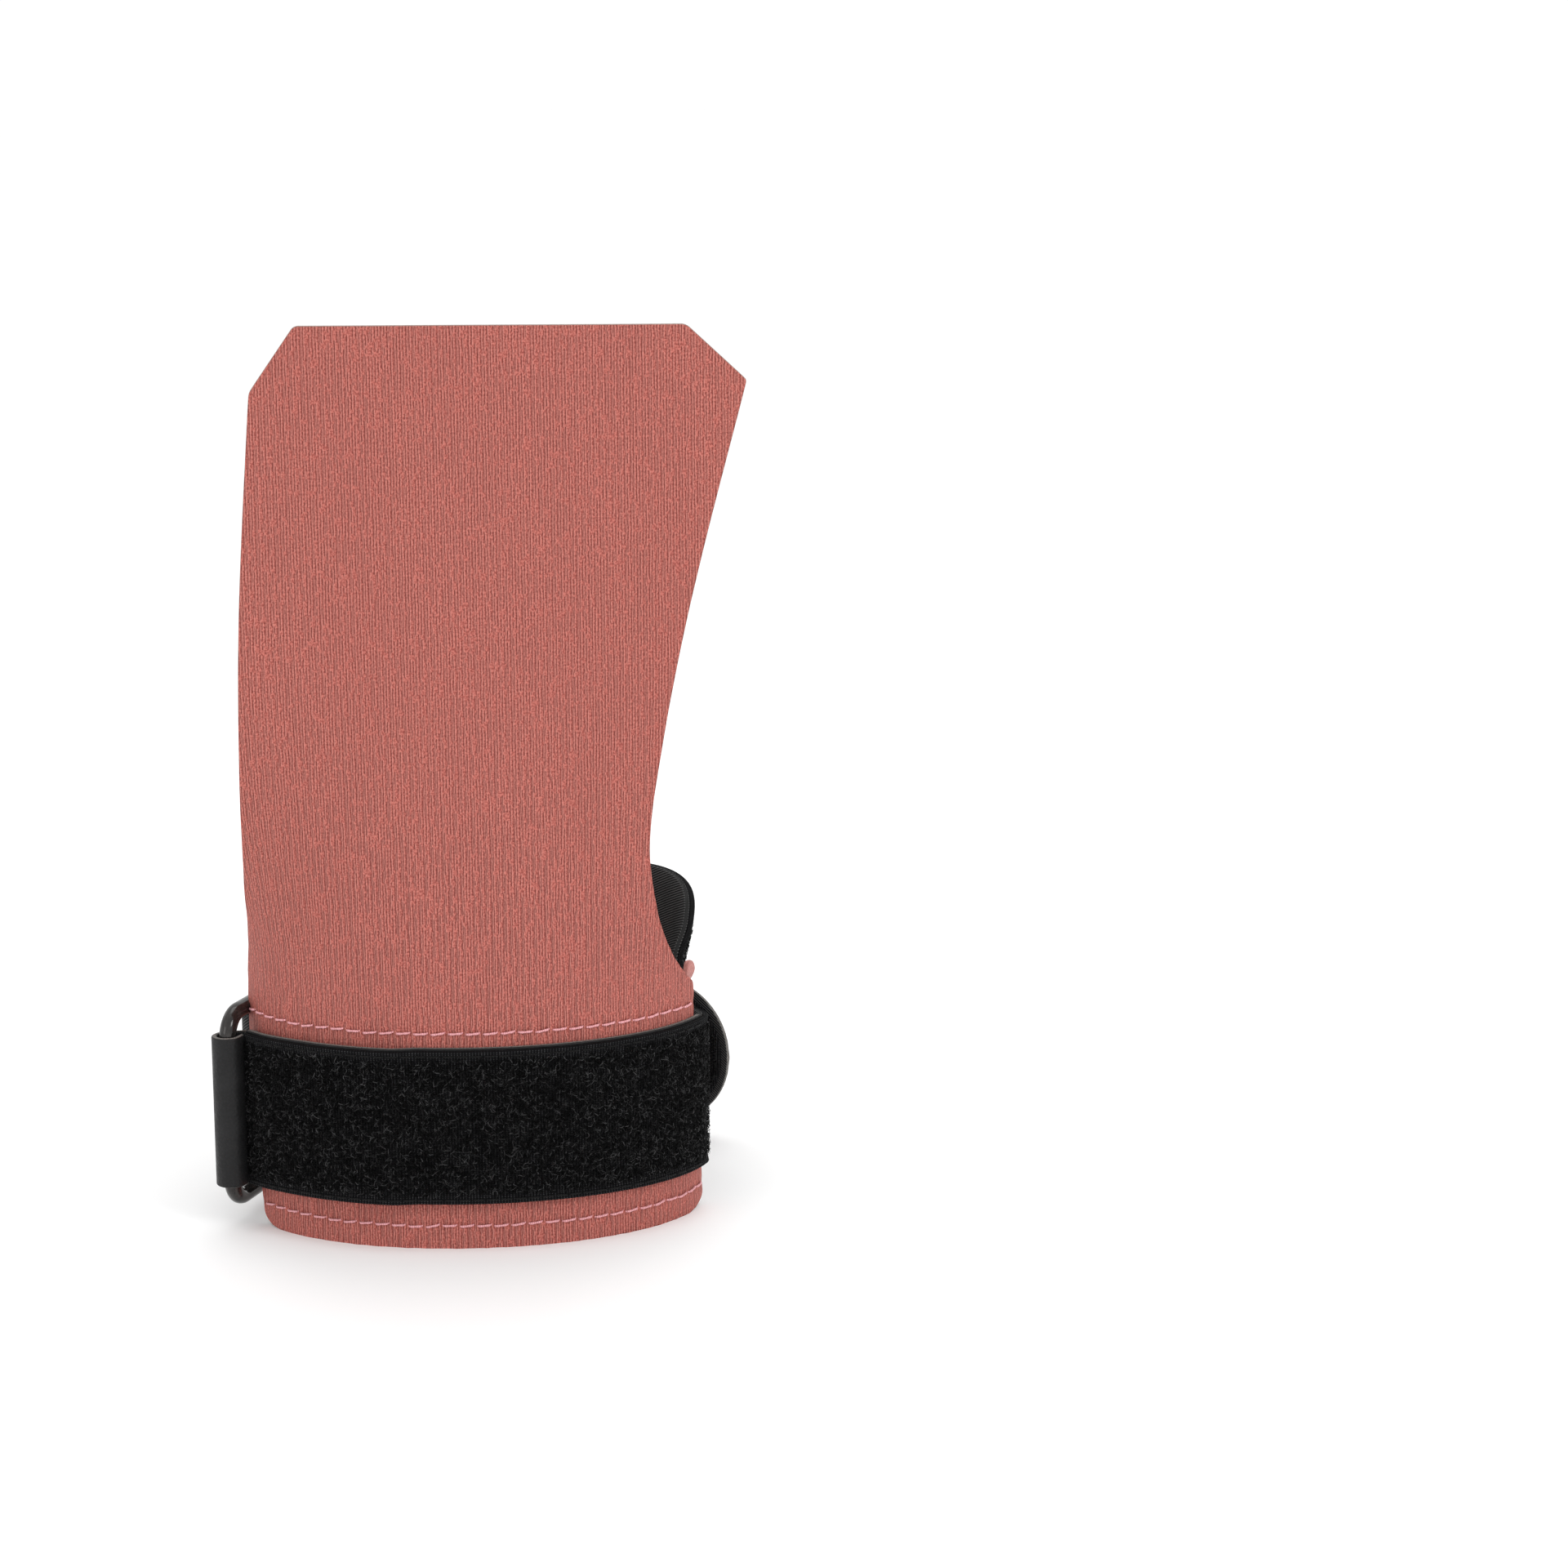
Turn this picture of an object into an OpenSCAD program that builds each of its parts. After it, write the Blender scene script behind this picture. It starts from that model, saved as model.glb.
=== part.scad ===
// A buckled gymnastics hand grip: a palm sheet on a padded wrist cuff, closed by a hook-and-loop strap
// that runs through a metal ring. Millimetres, +Z up, the cuff's lower edge on z = 0.
// The palm side faces -Y and the wrist opening's axis is Z.

/* [Palm sheet] */
// Height of the sheet's finger end above the cuff's lower edge
sheet_top = 188; // [160:1:210]
// Thickness of the coated palm sheet
sheet_t = 1.6; // [1.2:0.1:2]
// Height over which the sheet's curve dies out, from the cuff's curve to almost flat
flat_from = 150; // [130:1:160]

/* [Cuff] */
// Half width of the cuff's curve in plan, at the sheet's outer face
cuff_half_w = 48; // [44:0.5:52]
// Depth of the front half of that curve
cuff_depth = 30; // [26:0.5:34]
// Top edge of the cuff panel, below the wrist crease
cuff_top = 48; // [46:0.5:50]
// Thickness of the foam behind the cuff panel
foam_t = 1.8; // [1:0.1:2.5]
// Thickness of the wrist lining
lining_t = 1.1; // [0.8:0.1:1.5]

/* [Strap] */
// Width of the strap
strap_w = 33; // [30:0.5:34]
// Middle of the strap on the front, above the cuff's lower edge
strap_mid = 26.4; // [24:0.2:28]
// Thickness of one leather layer
leather_t = 1.2; // [1:0.1:1.4]
// Thickness of the loop tape
tape_t = 1.5; // [1:0.1:1.8]
// How far the strap rises behind the wrist
strap_rise = 22; // [0:1:24]
// Middle of the free end's round tip
flap_tip_z = 19; // [18:0.5:26]
// Thickness of the hook patch under the free end
hook_t = 1.2; // [0.8:0.1:1.5]

/* [Ring] */
// Diameter of the ring's wire
wire_d = 3.5; // [3:0.1:4]
// Outside height of the ring
ring_h = 43.5; // [42:0.5:48]
// Distance between the centres of the ring's two upright bars
ring_pitch = 16.5; // [15:0.5:18]
// Radius of the ring's corners, at the wire's centre
ring_r = 5; // [4:0.5:5]
// Angle of the ring's plane away from the Y axis
ring_turn = 22; // [20:1:30]

/* [Hidden] */

// Wrist crease and finger bend: the sheet is one skin, split here into the lengths that stay stiff
wrist_gap_top = 55;
bend_gap = [113, 117];
curl_from = 45;
curl_lost = 0.94;
// Half width that the sheet's curve opens to at the finger end
flat_half_w = 75;
chamfer_blend = 0.8;

// Ends of the cuff, as angles round its curve
cuff_left = -75;
cuff_right = 75;
strap_left = -70;
strap_right = 73;
// The front tape starts clear of the keeper's loop
tape_left = -67;
// The thumb tab of the lining: its first angle and its top
tab_left = 67.5;
tab_top = 54.5;
tab_r = 2.4;

// Where the keeper's inner leg stops under the strap base, and how far the base takes to step down
leg_end = -21;
leg_step = 8;
corner_r = 4;
lining_foot = 0.6;
lining_top = 47.5;
// Angle by which the foam stops short of the cuff's ends
foam_in = 4;
foam_edge = 2;
// Air between two layers, and under a line of stitches
gap = 0.05;
seam_gap = 0.1;

// Stitches: heights of the cuff's two rows, width and thickness of a row, and its place on the tape
seam_high = 45.7;
seam_low = 4.9;
seam_w = 0.9;
seam_t = 0.4;
tape_seam_in = 1.3;
tape_seam_w = 0.4;
tape_seam_t = 0.3;
// How far the tape, the hook patch and the patch's stitches stay inside the leather's edge
tape_in = 0.3;
rear_tape_in = 0.5;
hook_in = 1.4;
hook_seam_in = 2.6;

// Ring: the front bar sits in the keeper, the rear bar holds the strap's fold
ring_mid = 25.6;
ring_front = [-51, -13];
ring_dir = [sin(ring_turn), cos(ring_turn)];
ring_rear = ring_front + ring_pitch * ring_dir;
wire_r = wire_d / 2;
keeper_w = strap_w - 1;
foam_outer = -sheet_t - gap;
lining_outer = foam_outer - foam_t - 2 * seam_gap;
keeper_bore = wire_r + 0.4;
fold_bore = wire_r + 1.5;
fold_out = fold_bore + leather_t;

// The rear strap, counted along its path from 0 at the cuff to 3 at the ring: where it rises and falls,
// and where its upper edge tips outwards. Its width turns with a share of the rise and shears for the rest.
rise_span = [0.45, 1.7];
fall_span = [1.9, 2.9];
lean_span = [0.8, 1.25];
upright_span = [2, 2.8];
strap_lean = 0.25;
strap_turn = 0.15;

function lerp(a, b, t) = a + (b - a) * t;
function smooth(a, b, x) = let (u = max(0, min(1, (x - a) / (b - a)))) u * u * (3 - 2 * u);
function unit(v) = v / norm(v);
function soft_max(a, b, r) = (a + b + sqrt((a - b) * (a - b) + r * r)) / 2;

// Cubic Bezier through four control points, and its slope
function bezier(c, u) = pow(1 - u, 3) * c[0] + 3 * u * pow(1 - u, 2) * c[1]
    + 3 * u * u * (1 - u) * c[2] + pow(u, 3) * c[3];
function slope(c, u) = 3 * pow(1 - u, 2) * (c[1] - c[0]) + 6 * u * (1 - u) * (c[2] - c[1])
    + 3 * u * u * (c[3] - c[2]);

// Value at x on a smooth curve through [x, value] points in rising order
function knot(p, x, i = 0) = (i >= len(p) - 2 || x < p[i + 1][0]) ? i : knot(p, x, i + 1);
function tangent_at(p, i) =
    let (a = p[max(0, i - 1)], b = p[min(len(p) - 1, i + 1)])
    (b[1] - a[1]) / (b[0] - a[0]);
function through(p, x) =
    let (i = knot(p, x), h = p[i + 1][0] - p[i][0], u = (x - p[i][0]) / h)
    bezier([p[i][1], p[i][1] + tangent_at(p, i) * h / 3,
            p[i + 1][1] - tangent_at(p, i + 1) * h / 3, p[i + 1][1]], u);

// Plan curve of the cuff: angle t from the front, moved out by off, and its direction
function cuff_plan(t, off) =
    let (n = unit([cuff_depth * sin(t), -cuff_half_w * cos(t)]))
    [cuff_half_w * sin(t), -cuff_depth * cos(t)] + off * n;
function cuff_run(t) = unit([cuff_half_w * cos(t), cuff_depth * sin(t)]);

// Side edges of the palm sheet as [height, x]
left_edge = [[48, -46.9], [66, -46.1], [100, -45.6], [134, -44.2], [176, -41]];
right_edge = [[48, 45.9], [53, 43.6], [59, 40.4], [68, 37.6],
              [82, 36], [100, 38], [133, 44.3], [178, 55.8]];
left_chamfer = [[175, -41.2], [187.5, -32.4]];
right_chamfer = [[176.5, 56.2], [188.3, 43.4]];
function line_at(p, z) = p[0][1] + (z - p[0][0]) * (p[1][1] - p[0][1]) / (p[1][0] - p[0][0]);
function sheet_left(z) = soft_max(through(left_edge, z), line_at(left_chamfer, z), chamfer_blend);
function sheet_right(z) = -soft_max(-through(right_edge, z), -line_at(right_chamfer, z), chamfer_blend);

// The sheet's outer face: the cuff's curve low down, wider and almost flat at the finger end
function curl(z) = 1 - curl_lost * smooth(curl_from, flat_from, z);
function curve_half(z) = lerp(cuff_half_w, flat_half_w, smooth(wrist_gap_top, flat_from, z));
function arch(x, z) = 1 - sqrt(max(0, 1 - pow(x / curve_half(z), 2)));
function face_y(x, z) = -cuff_depth + curl(z) * cuff_depth * arch(x, z);
function face_point(x, z, off) =
    let (e = 0.1, n = unit([face_y(x + e, z) - face_y(x - e, z), -2 * e]))
    [x + off * n[0], face_y(x, z) + off * n[1], z];

// Rear path of the strap: from the cuff's right end, round the back of the wrist, to the ring
path_start = cuff_plan(strap_right, leather_t / 2 + gap);
rear_right = [path_start, path_start + 4.5 * cuff_run(strap_right), [41.2, -1.5], [40.2, 6]];
rear_back = [[40.2, 6], [39.13, 14], [55, 44], [4, 44]];
fold_r = fold_bore + leather_t / 2;
ring_side = [-ring_dir[1], ring_dir[0]];
fold_in = ring_rear - fold_r * ring_side;
fold_end = ring_rear + fold_r * ring_side;
rear_left = [[4, 44], [-24, 44], fold_in + 14 * ring_dir, fold_in];
flap_start = fold_end + 2 * ring_dir;
flap_a = [flap_start, fold_end + 18 * ring_dir, [-27, 50.4], [4, 50.4]];
flap_b = [[4, 50.4], [24, 50.4], [42, 48], [55.6, 38]];

// The rear strap's centre line: u from 0 to 3 over its three Beziers
function rear_part(u) = u < 1 ? rear_right : u < 2 ? rear_back : rear_left;
function rear_xy(u) = bezier(rear_part(u), u - min(2, floor(u)));
function rear_slope(u) = slope(rear_part(u), u - min(2, floor(u)));
function hump(u, up, down) = smooth(up[0], up[1], u) * (1 - smooth(down[0], down[1], u));
function rear_mid(u) = lerp(strap_mid, ring_mid, u / 3) + strap_rise * hump(u, rise_span, fall_span);
function rear_lean(u) = strap_lean * hump(u, lean_span, upright_span);
// The flap's centre line: u from 0 to 2 over its two Beziers
function flap_xy(u) = u < 1 ? bezier(flap_a, u) : bezier(flap_b, u - 1);
function flap_slope(u) = u < 1 ? slope(flap_a, u) : slope(flap_b, u - 1);
function flap_mid(u) = lerp(ring_mid, flap_tip_z, smooth(0.2, 2, u));

// A point on the rear strap: off outwards, across along its width, which turns partly with its rise
function rear_point(u, off, across) =
    let (e = 0.01, d = unit(rear_slope(u)), n = [d[1], -d[0]],
         run = norm(rear_xy(min(3, u + e)) - rear_xy(max(0, u - e))),
         rise = strap_turn * (rear_mid(min(3, u + e)) - rear_mid(max(0, u - e))) / run,
         w = unit([rear_lean(u) * n[0] - rise * d[0], rear_lean(u) * n[1] - rise * d[1], 1]))
    concat(rear_xy(u) + off * n, rear_mid(u)) + across * w;
function flap_point(u, off, across) =
    let (d = unit(flap_slope(u)), n = [-d[1], d[0]])
    concat(flap_xy(u) + off * n, flap_mid(u) + across);

// Half width of the flap: it ends in a half circle round the point at u = 2
function flap_reach(u) = norm(flap_xy(2) - flap_xy(u));
function flap_half(u, trim) =
    let (r = strap_w / 2 - trim, d = r - (flap_reach(u) - trim))
    d <= 0 ? r : sqrt(max(0.04, r * r - d * d));

// A closed solid between two grids of points, rows from low to high and columns along the strip
module slab(outer, inner) {
    rows = len(outer);
    cols = len(outer[0]);
    n = rows * cols;
    points = concat([for (r = outer) for (p = r) p], [for (r = inner) for (p = r) p]);
    function at(side, r, c) = side * n + r * cols + c;
    faces = concat(
        [for (r = [0:rows - 2]) for (c = [0:cols - 2]) each
            [[at(0, r, c), at(0, r + 1, c), at(0, r + 1, c + 1)],
             [at(0, r, c), at(0, r + 1, c + 1), at(0, r, c + 1)],
             [at(1, r, c), at(1, r + 1, c + 1), at(1, r + 1, c)],
             [at(1, r, c), at(1, r, c + 1), at(1, r + 1, c + 1)]]],
        [for (c = [0:cols - 2]) each
            [[at(0, 0, c), at(0, 0, c + 1), at(1, 0, c + 1)],
             [at(0, 0, c), at(1, 0, c + 1), at(1, 0, c)],
             [at(0, rows - 1, c), at(1, rows - 1, c + 1), at(0, rows - 1, c + 1)],
             [at(0, rows - 1, c), at(1, rows - 1, c), at(1, rows - 1, c + 1)]]],
        [for (r = [0:rows - 2]) each
            [[at(0, r, 0), at(1, r + 1, 0), at(0, r + 1, 0)],
             [at(0, r, 0), at(1, r, 0), at(1, r + 1, 0)],
             [at(0, r, cols - 1), at(0, r + 1, cols - 1), at(1, r + 1, cols - 1)],
             [at(0, r, cols - 1), at(1, r + 1, cols - 1), at(1, r, cols - 1)]]]);
    polyhedron(points, faces);
}

// Steps from a to b with extra ones close to both ends, so that round corners show
function steps(a, b, count, r) =
    let (span = b - a)
    concat([for (f = [0, 0.04, 0.15, 0.4]) a + f * r * sign(span)],
           [for (i = [0:count]) lerp(a + r * sign(span), b - r * sign(span), i / count)],
           [for (f = [0.4, 0.15, 0.04, 0]) b - f * r * sign(span)]);
// Drop of a round corner of radius r at distance d from the end
function corner(d, r) = d >= r ? 0 : r - sqrt(max(0, r * r - (r - d) * (r - d)));

// A wall that follows the cuff's curve between two angles, with round lower or upper corners
module cuff_wall(t0, t1, off0, off1, low, high, rows = 3, round_low = 0, round_high = 0, cols = 22) {
    side_stretch = 1.25;
    deg_per_mm = 180 / PI / cuff_half_w * side_stretch;
    round_most = max(round_low, round_high);
    span = steps(t0, t1, cols, round_most > 0 ? round_most * deg_per_mm : 3);
    function from_end(t) = min(t - t0, t1 - t) / deg_per_mm;
    function foot(t) = low + corner(from_end(t), round_low);
    function head(t) = high - corner(from_end(t), round_high);
    function point(t, off, r) = concat(cuff_plan(t, off), lerp(foot(t), head(t), r / rows));
    function wall(off) = [for (r = [0:rows]) [for (t = span) point(t, off, r)]];
    slab(wall(off1), wall(off0));
}

// A length of the palm sheet between two heights
module sheet_length(z0, z1, rows, dense_top = false) {
    heights = dense_top ? concat([for (i = [0:rows]) lerp(z0, z1 - 14, i / rows)],
                                 [for (d = [12.5, 11.5, 10.5, 8, 5, 2, 0]) z1 - d])
                        : [for (i = [0:rows]) lerp(z0, z1, i / rows)];
    cols = 24;
    function spread(c) = (1 - cos(180 * c / cols)) / 2;
    function side(off) = [for (z = heights) [for (c = [0:cols])
        face_point(lerp(sheet_left(z), sheet_right(z), spread(c)), z, off)]];
    slab(side(0), side(-sheet_t));
}

// A thin seam line standing on the cuff's curve
module seam_line(t0, t1, off, z) {
    foot = off + seam_gap;
    cuff_wall(t0, t1, foot, foot + seam_t, z - seam_w / 2, z + seam_w / 2, rows = 1);
}

// A strip along the rear path
module rear_strip(u0, u1, off0, off1, half, count) {
    function side(off) = [for (a = [-1:0.5:1]) [for (i = [0:count])
        rear_point(lerp(u0, u1, i / count), off, a * half)]];
    slab(side(off1), side(off0));
}

// A strip along the flap, with a round tip
module flap_strip(u0, u1, off0, off1, trim, count) {
    tip_from = 1.7;
    span = concat([for (i = [0:count]) lerp(u0, tip_from, i / count)],
                  [for (i = [1:8]) lerp(tip_from, u1, sin(90 * i / 8))]);
    function side(off) = [for (a = [1:-0.5:-1]) [for (u = span) flap_point(u, off, a * flap_half(u, trim))]];
    slab(side(off1), side(off0));
}

// The strap's middle: it dips a little towards the ring
dip_span = [-78, -44];
function strap_z(t) = lerp(ring_mid, strap_mid, smooth(dip_span[0], dip_span[1], t));
// Height of the strap base above the panel: it steps down where the keeper's inner leg ends
function base_off(t) = gap + (leather_t + gap) * (1 - smooth(leg_end, leg_end + leg_step, t));
module strap_layer(t0, t1, rise0, rise1, half) {
    span = steps(t0, t1, 34, 1.5);
    function side(add) = [for (a = [-1, 0, 1]) [for (t = span)
        concat(cuff_plan(t, base_off(t) + add), strap_z(t) + a * half)]];
    slab(side(rise1), side(rise0));
}

module cuff_panel() {
    color([0.72, 0.42, 0.39])
        cuff_wall(cuff_left, cuff_right, -sheet_t, 0, 0, cuff_top, rows = 4, round_low = corner_r);
}
module palm_panel() {
    color([0.72, 0.42, 0.39])
        sheet_length(wrist_gap_top, bend_gap[0], 16);
}
module finger_panel() {
    color([0.72, 0.42, 0.39])
        sheet_length(bend_gap[1], sheet_top, 8, dense_top = true);
}
module wrist_foam() {
    color([0.25, 0.25, 0.27])
        cuff_wall(cuff_left + foam_in, cuff_right - foam_in, foam_outer - foam_t, foam_outer,
                  foam_edge, cuff_top - foam_edge);
}
module wrist_lining() {
    color([0.78, 0.5, 0.47])
        cuff_wall(cuff_left, cuff_right, lining_outer - lining_t, lining_outer, lining_foot, lining_top,
                  round_low = corner_r);
}
// The round tab of the lining that shows in the thumb's cut-out
module lining_tab() {
    color([0.78, 0.5, 0.47])
        cuff_wall(tab_left, cuff_right, lining_outer - lining_t, lining_outer, lining_top + gap, tab_top,
                  rows = 4, round_high = tab_r, cols = 4);
}
module cuff_seam_upper() {
    color([0.95, 0.75, 0.72])
        seam_line(cuff_left + 1, cuff_right - 1, 0, seam_high);
}
module cuff_seam_lower() {
    color([0.95, 0.75, 0.72])
        seam_line(cuff_left + 2, cuff_right - 1, 0, seam_low);
}
module strap_base() {
    color([0.13, 0.13, 0.13])
        strap_layer(strap_left, strap_right, 0, leather_t, strap_w / 2);
}
// The strap's left end, folded round the ring's front bar; its inner leg lies under the strap base
module keeper_tab() {
    tangent = [0.35, 0.94];
    color([0.2, 0.2, 0.2]) {
        translate([0, 0, ring_mid - keeper_w / 2])
            linear_extrude(keeper_w)
                difference() {
                    union() {
                        translate(ring_front)
                            circle(r = keeper_bore + leather_t, $fn = 48);
                        polygon([ring_front + (keeper_bore + leather_t) * -tangent,
                                 cuff_plan(strap_left, 2 * leather_t + gap),
                                 cuff_plan(strap_left, gap),
                                 ring_front + (keeper_bore + leather_t) * tangent]);
                    }
                    translate(ring_front)
                        circle(r = keeper_bore, $fn = 48);
                }
        inner_leg();
    }
}
module inner_leg() {
    span = [for (i = [0:12]) lerp(strap_left - 0.5, leg_end, i / 12)];
    function side(add) = [for (a = [-1, 0, 1]) [for (t = span)
        concat(cuff_plan(t, add), strap_z(t) + a * keeper_w / 2)]];
    slab(side(leather_t), side(gap));
}
module loop_tape_front() {
    color([0.06, 0.06, 0.06])
        strap_layer(tape_left, strap_right - 0.5, leather_t + gap, leather_t + gap + tape_t,
                    strap_w / 2 - tape_in);
}
module tape_seam(side) {
    rise = leather_t + gap + tape_t + seam_gap;
    span = steps(tape_left + 1, strap_right - 3, 34, 1.5);
    z = side * (strap_w / 2 - tape_seam_in);
    function line(add) = [for (a = [-0.5, 0.5]) [for (t = span)
        concat(cuff_plan(t, base_off(t) + add), strap_z(t) + z + a * tape_seam_w)]];
    color([0.03, 0.03, 0.03])
        slab(line(rise + tape_seam_t), line(rise));
}
module tape_seam_upper() {
    tape_seam(1);
}
module tape_seam_lower() {
    tape_seam(-1);
}
// A rectangular wire ring with round corners, its front bar on the keeper's axis
module buckle_ring() {
    half = ring_h / 2 - wire_r;
    color([0.12, 0.12, 0.13])
        translate([ring_front[0], ring_front[1], ring_mid])
            rotate([0, 0, 90 - ring_turn]) {
                for (x = [0, ring_pitch])
                    translate([x, 0, ring_r - half])
                        cylinder(r = wire_r, h = 2 * (half - ring_r), $fn = 32);
                for (z = [-half, half])
                    translate([ring_r, 0, z])
                        rotate([0, 90, 0])
                            cylinder(r = wire_r, h = ring_pitch - 2 * ring_r, $fn = 32);
                for (q = [[ring_r, half - ring_r, 90], [ring_pitch - ring_r, half - ring_r, 0],
                          [ring_pitch - ring_r, ring_r - half, 270], [ring_r, ring_r - half, 180]])
                    translate([q[0], 0, q[1]])
                        rotate([90, 0, 0])
                            rotate([0, 0, q[2]])
                                rotate_extrude(angle = 90, $fn = 48)
                                    translate([ring_r, 0])
                                        circle(r = wire_r, $fn = 32);
            }
}
module rear_webbing() {
    color([0.1, 0.1, 0.1])
        rear_strip(0.04, 2.99, -leather_t / 2, leather_t / 2, strap_w / 2 - tape_in, 42);
}
module loop_tape_rear() {
    color([0.06, 0.06, 0.06])
        rear_strip(0.04, 2.7, leather_t / 2 + gap, leather_t / 2 + gap + tape_t,
                   strap_w / 2 - rear_tape_in, 38);
}
// The strap's U round the ring's rear bar
module ring_fold() {
    color([0.1, 0.1, 0.1])
        translate([0, 0, ring_mid - strap_w / 2 + tape_in])
            linear_extrude(strap_w - 2 * tape_in)
                difference() {
                    translate(ring_rear)
                        circle(r = fold_out, $fn = 48);
                    translate(ring_rear)
                        circle(r = fold_bore, $fn = 48);
                    translate(ring_rear)
                        rotate(-ring_turn)
                            translate([-fold_out, 0])
                                square([2 * fold_out, 2 * fold_out]);
                }
}
module closing_flap() {
    color([0.17, 0.17, 0.17])
        flap_strip(0, 1.995, -leather_t / 2, leather_t / 2, 0, 24);
}
module hook_patch() {
    color([0.05, 0.05, 0.05])
        flap_strip(1.05, 1.97, -leather_t / 2 - gap - hook_t, -leather_t / 2 - gap, hook_in, 12);
}
module flap_seam() {
    color([0.03, 0.03, 0.03])
        flap_strip(1.08, 1.96, leather_t / 2 + seam_gap, leather_t / 2 + seam_gap + tape_seam_t,
                   hook_seam_in, 12);
}

cuff_panel();
palm_panel();
finger_panel();
wrist_foam();
wrist_lining();
lining_tab();
cuff_seam_upper();
cuff_seam_lower();
strap_base();
keeper_tab();
loop_tape_front();
tape_seam_upper();
tape_seam_lower();
buckle_ring();
rear_webbing();
loop_tape_rear();
ring_fold();
closing_flap();
hook_patch();
flap_seam();
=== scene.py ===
"""Looks of a buckled gymnastics hand grip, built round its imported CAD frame.

Lengths are in millimetres in the shape functions and become metres when a mesh is made.
"""
import math

import bmesh
import bpy
import numpy as np
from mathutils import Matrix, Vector


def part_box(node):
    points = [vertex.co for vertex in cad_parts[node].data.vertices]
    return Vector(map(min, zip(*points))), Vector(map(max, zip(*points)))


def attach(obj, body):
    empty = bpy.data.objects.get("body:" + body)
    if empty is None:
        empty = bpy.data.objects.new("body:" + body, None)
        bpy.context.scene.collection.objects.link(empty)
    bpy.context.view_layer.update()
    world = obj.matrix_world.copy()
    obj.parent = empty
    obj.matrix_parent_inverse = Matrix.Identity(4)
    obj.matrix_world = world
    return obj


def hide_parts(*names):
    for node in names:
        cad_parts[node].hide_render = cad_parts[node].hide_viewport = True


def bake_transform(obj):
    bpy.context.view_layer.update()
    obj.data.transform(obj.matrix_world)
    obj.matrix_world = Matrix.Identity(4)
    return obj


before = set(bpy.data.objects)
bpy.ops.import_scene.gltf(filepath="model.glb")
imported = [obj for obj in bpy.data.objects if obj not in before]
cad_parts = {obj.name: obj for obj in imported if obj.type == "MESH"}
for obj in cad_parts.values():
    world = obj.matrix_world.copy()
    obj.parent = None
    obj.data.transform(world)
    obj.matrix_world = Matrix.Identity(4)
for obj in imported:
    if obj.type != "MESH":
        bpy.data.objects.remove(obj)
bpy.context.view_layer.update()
MM = 0.001


def box_mm(name):
    """Lowest and highest corner of a CAD node, in millimetres."""
    low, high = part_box(name)
    return np.array(low) / MM, np.array(high) / MM


# ---------------------------------------------------------------- design values, as the CAD has them
CUFF_HALF_W = 48.0
CUFF_DEPTH = -box_mm("cuff_panel")[0][1]
CUFF_TOP = box_mm("cuff_panel")[1][2]
SHEET_TOP = box_mm("finger_panel")[1][2]
SHEET_T = 1.6
CURL_FROM, OPEN_FROM, FLAT_FROM = 45.0, 55.0, 150.0
CURL_LOST = 0.94
FLAT_HALF_W = 75.0
FOAM_T = 1.8
LINING_T = 1.1
LEATHER_T = 1.2
TAPE_T = 1.5
GAP = 0.05
STRAP_W = 33.0
STRAP_MID = 26.4
STRAP_LEFT, STRAP_RIGHT = -70.0, 73.0
LEG_END = -21.0
STRAP_RISE = 22.0
STRAP_LEAN, STRAP_TURN = 0.25, 0.15
RISE_SPAN, FALL_SPAN = (0.45, 1.7), (1.9, 2.9)
LEAN_SPAN, UPRIGHT_SPAN = (0.8, 1.25), (2.0, 2.8)
FLAP_TIP_Z = 19.0
RING_MID = sum(box_mm("buckle_ring")[i][2] for i in (0, 1)) / 2
RING_H = box_mm("buckle_ring")[1][2] - box_mm("buckle_ring")[0][2]
RING_PITCH = 16.5
RING_R = 5.0
WIRE_R = 1.75
RING_FRONT = np.array([-51.0, -13.0])
RING_TURN = math.radians(22)
RING_DIR = np.array([math.sin(RING_TURN), math.cos(RING_TURN)])
RING_SIDE = np.array([-RING_DIR[1], RING_DIR[0]])
RING_REAR = RING_FRONT + RING_PITCH * RING_DIR
KEEPER_R = WIRE_R + 0.4 + LEATHER_T / 2
FOLD_R = WIRE_R + 1.5 + LEATHER_T / 2
FOLD_IN = RING_REAR - FOLD_R * RING_SIDE
FOLD_END = RING_REAR + FOLD_R * RING_SIDE
SEAMS = (45.7, 4.9)


# ---------------------------------------------------------------- values of the looks alone
SPLIT = 84.0
STITCH = 3.5
TAPE_HALF = STRAP_W / 2 - 0.3
FLAP_TIP_R = STRAP_W / 2
FOAM_LEFT, FOAM_RIGHT = -66.0, 67.0
LINING_RUN = 112.0
TAB_RISE = 7.2
SELVEDGE = 1.9
TAPE_GROUND, PILE_FOOT, TAPE_STITCH_Z = TAPE_T - 0.45, TAPE_T - 0.75, TAPE_T - 0.42
PILE_COUNT, PILE_TALL = 7600, 0.75
HOOK_PITCH, HOOK_ROWS = 0.95, 0.75
PATCH_T = 0.45
PATCH_SEAM_IN = 2.3
SHEET_ROUND, FOOT_ROUND = 0.7, 3.0
RIB = 0.6
RIB_WAVE = 2 * math.pi / 20 / RIB


# ---------------------------------------------------------------- small maths
def smooth(a, b, x):
    u = np.clip((np.asarray(x, float) - a) / (b - a), 0, 1)
    return u * u * (3 - 2 * u)


def lerp(a, b, t):
    return a + (b - a) * t


def unit(v):
    return v / np.maximum(np.linalg.norm(v, axis=-1, keepdims=True), 1e-9)


def bezier(c, u):
    c = np.asarray(c, float)
    u = np.asarray(u, float)[..., None]
    return (1 - u) ** 3 * c[0] + 3 * u * (1 - u) ** 2 * c[1] + 3 * u * u * (1 - u) * c[2] + u**3 * c[3]


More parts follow.
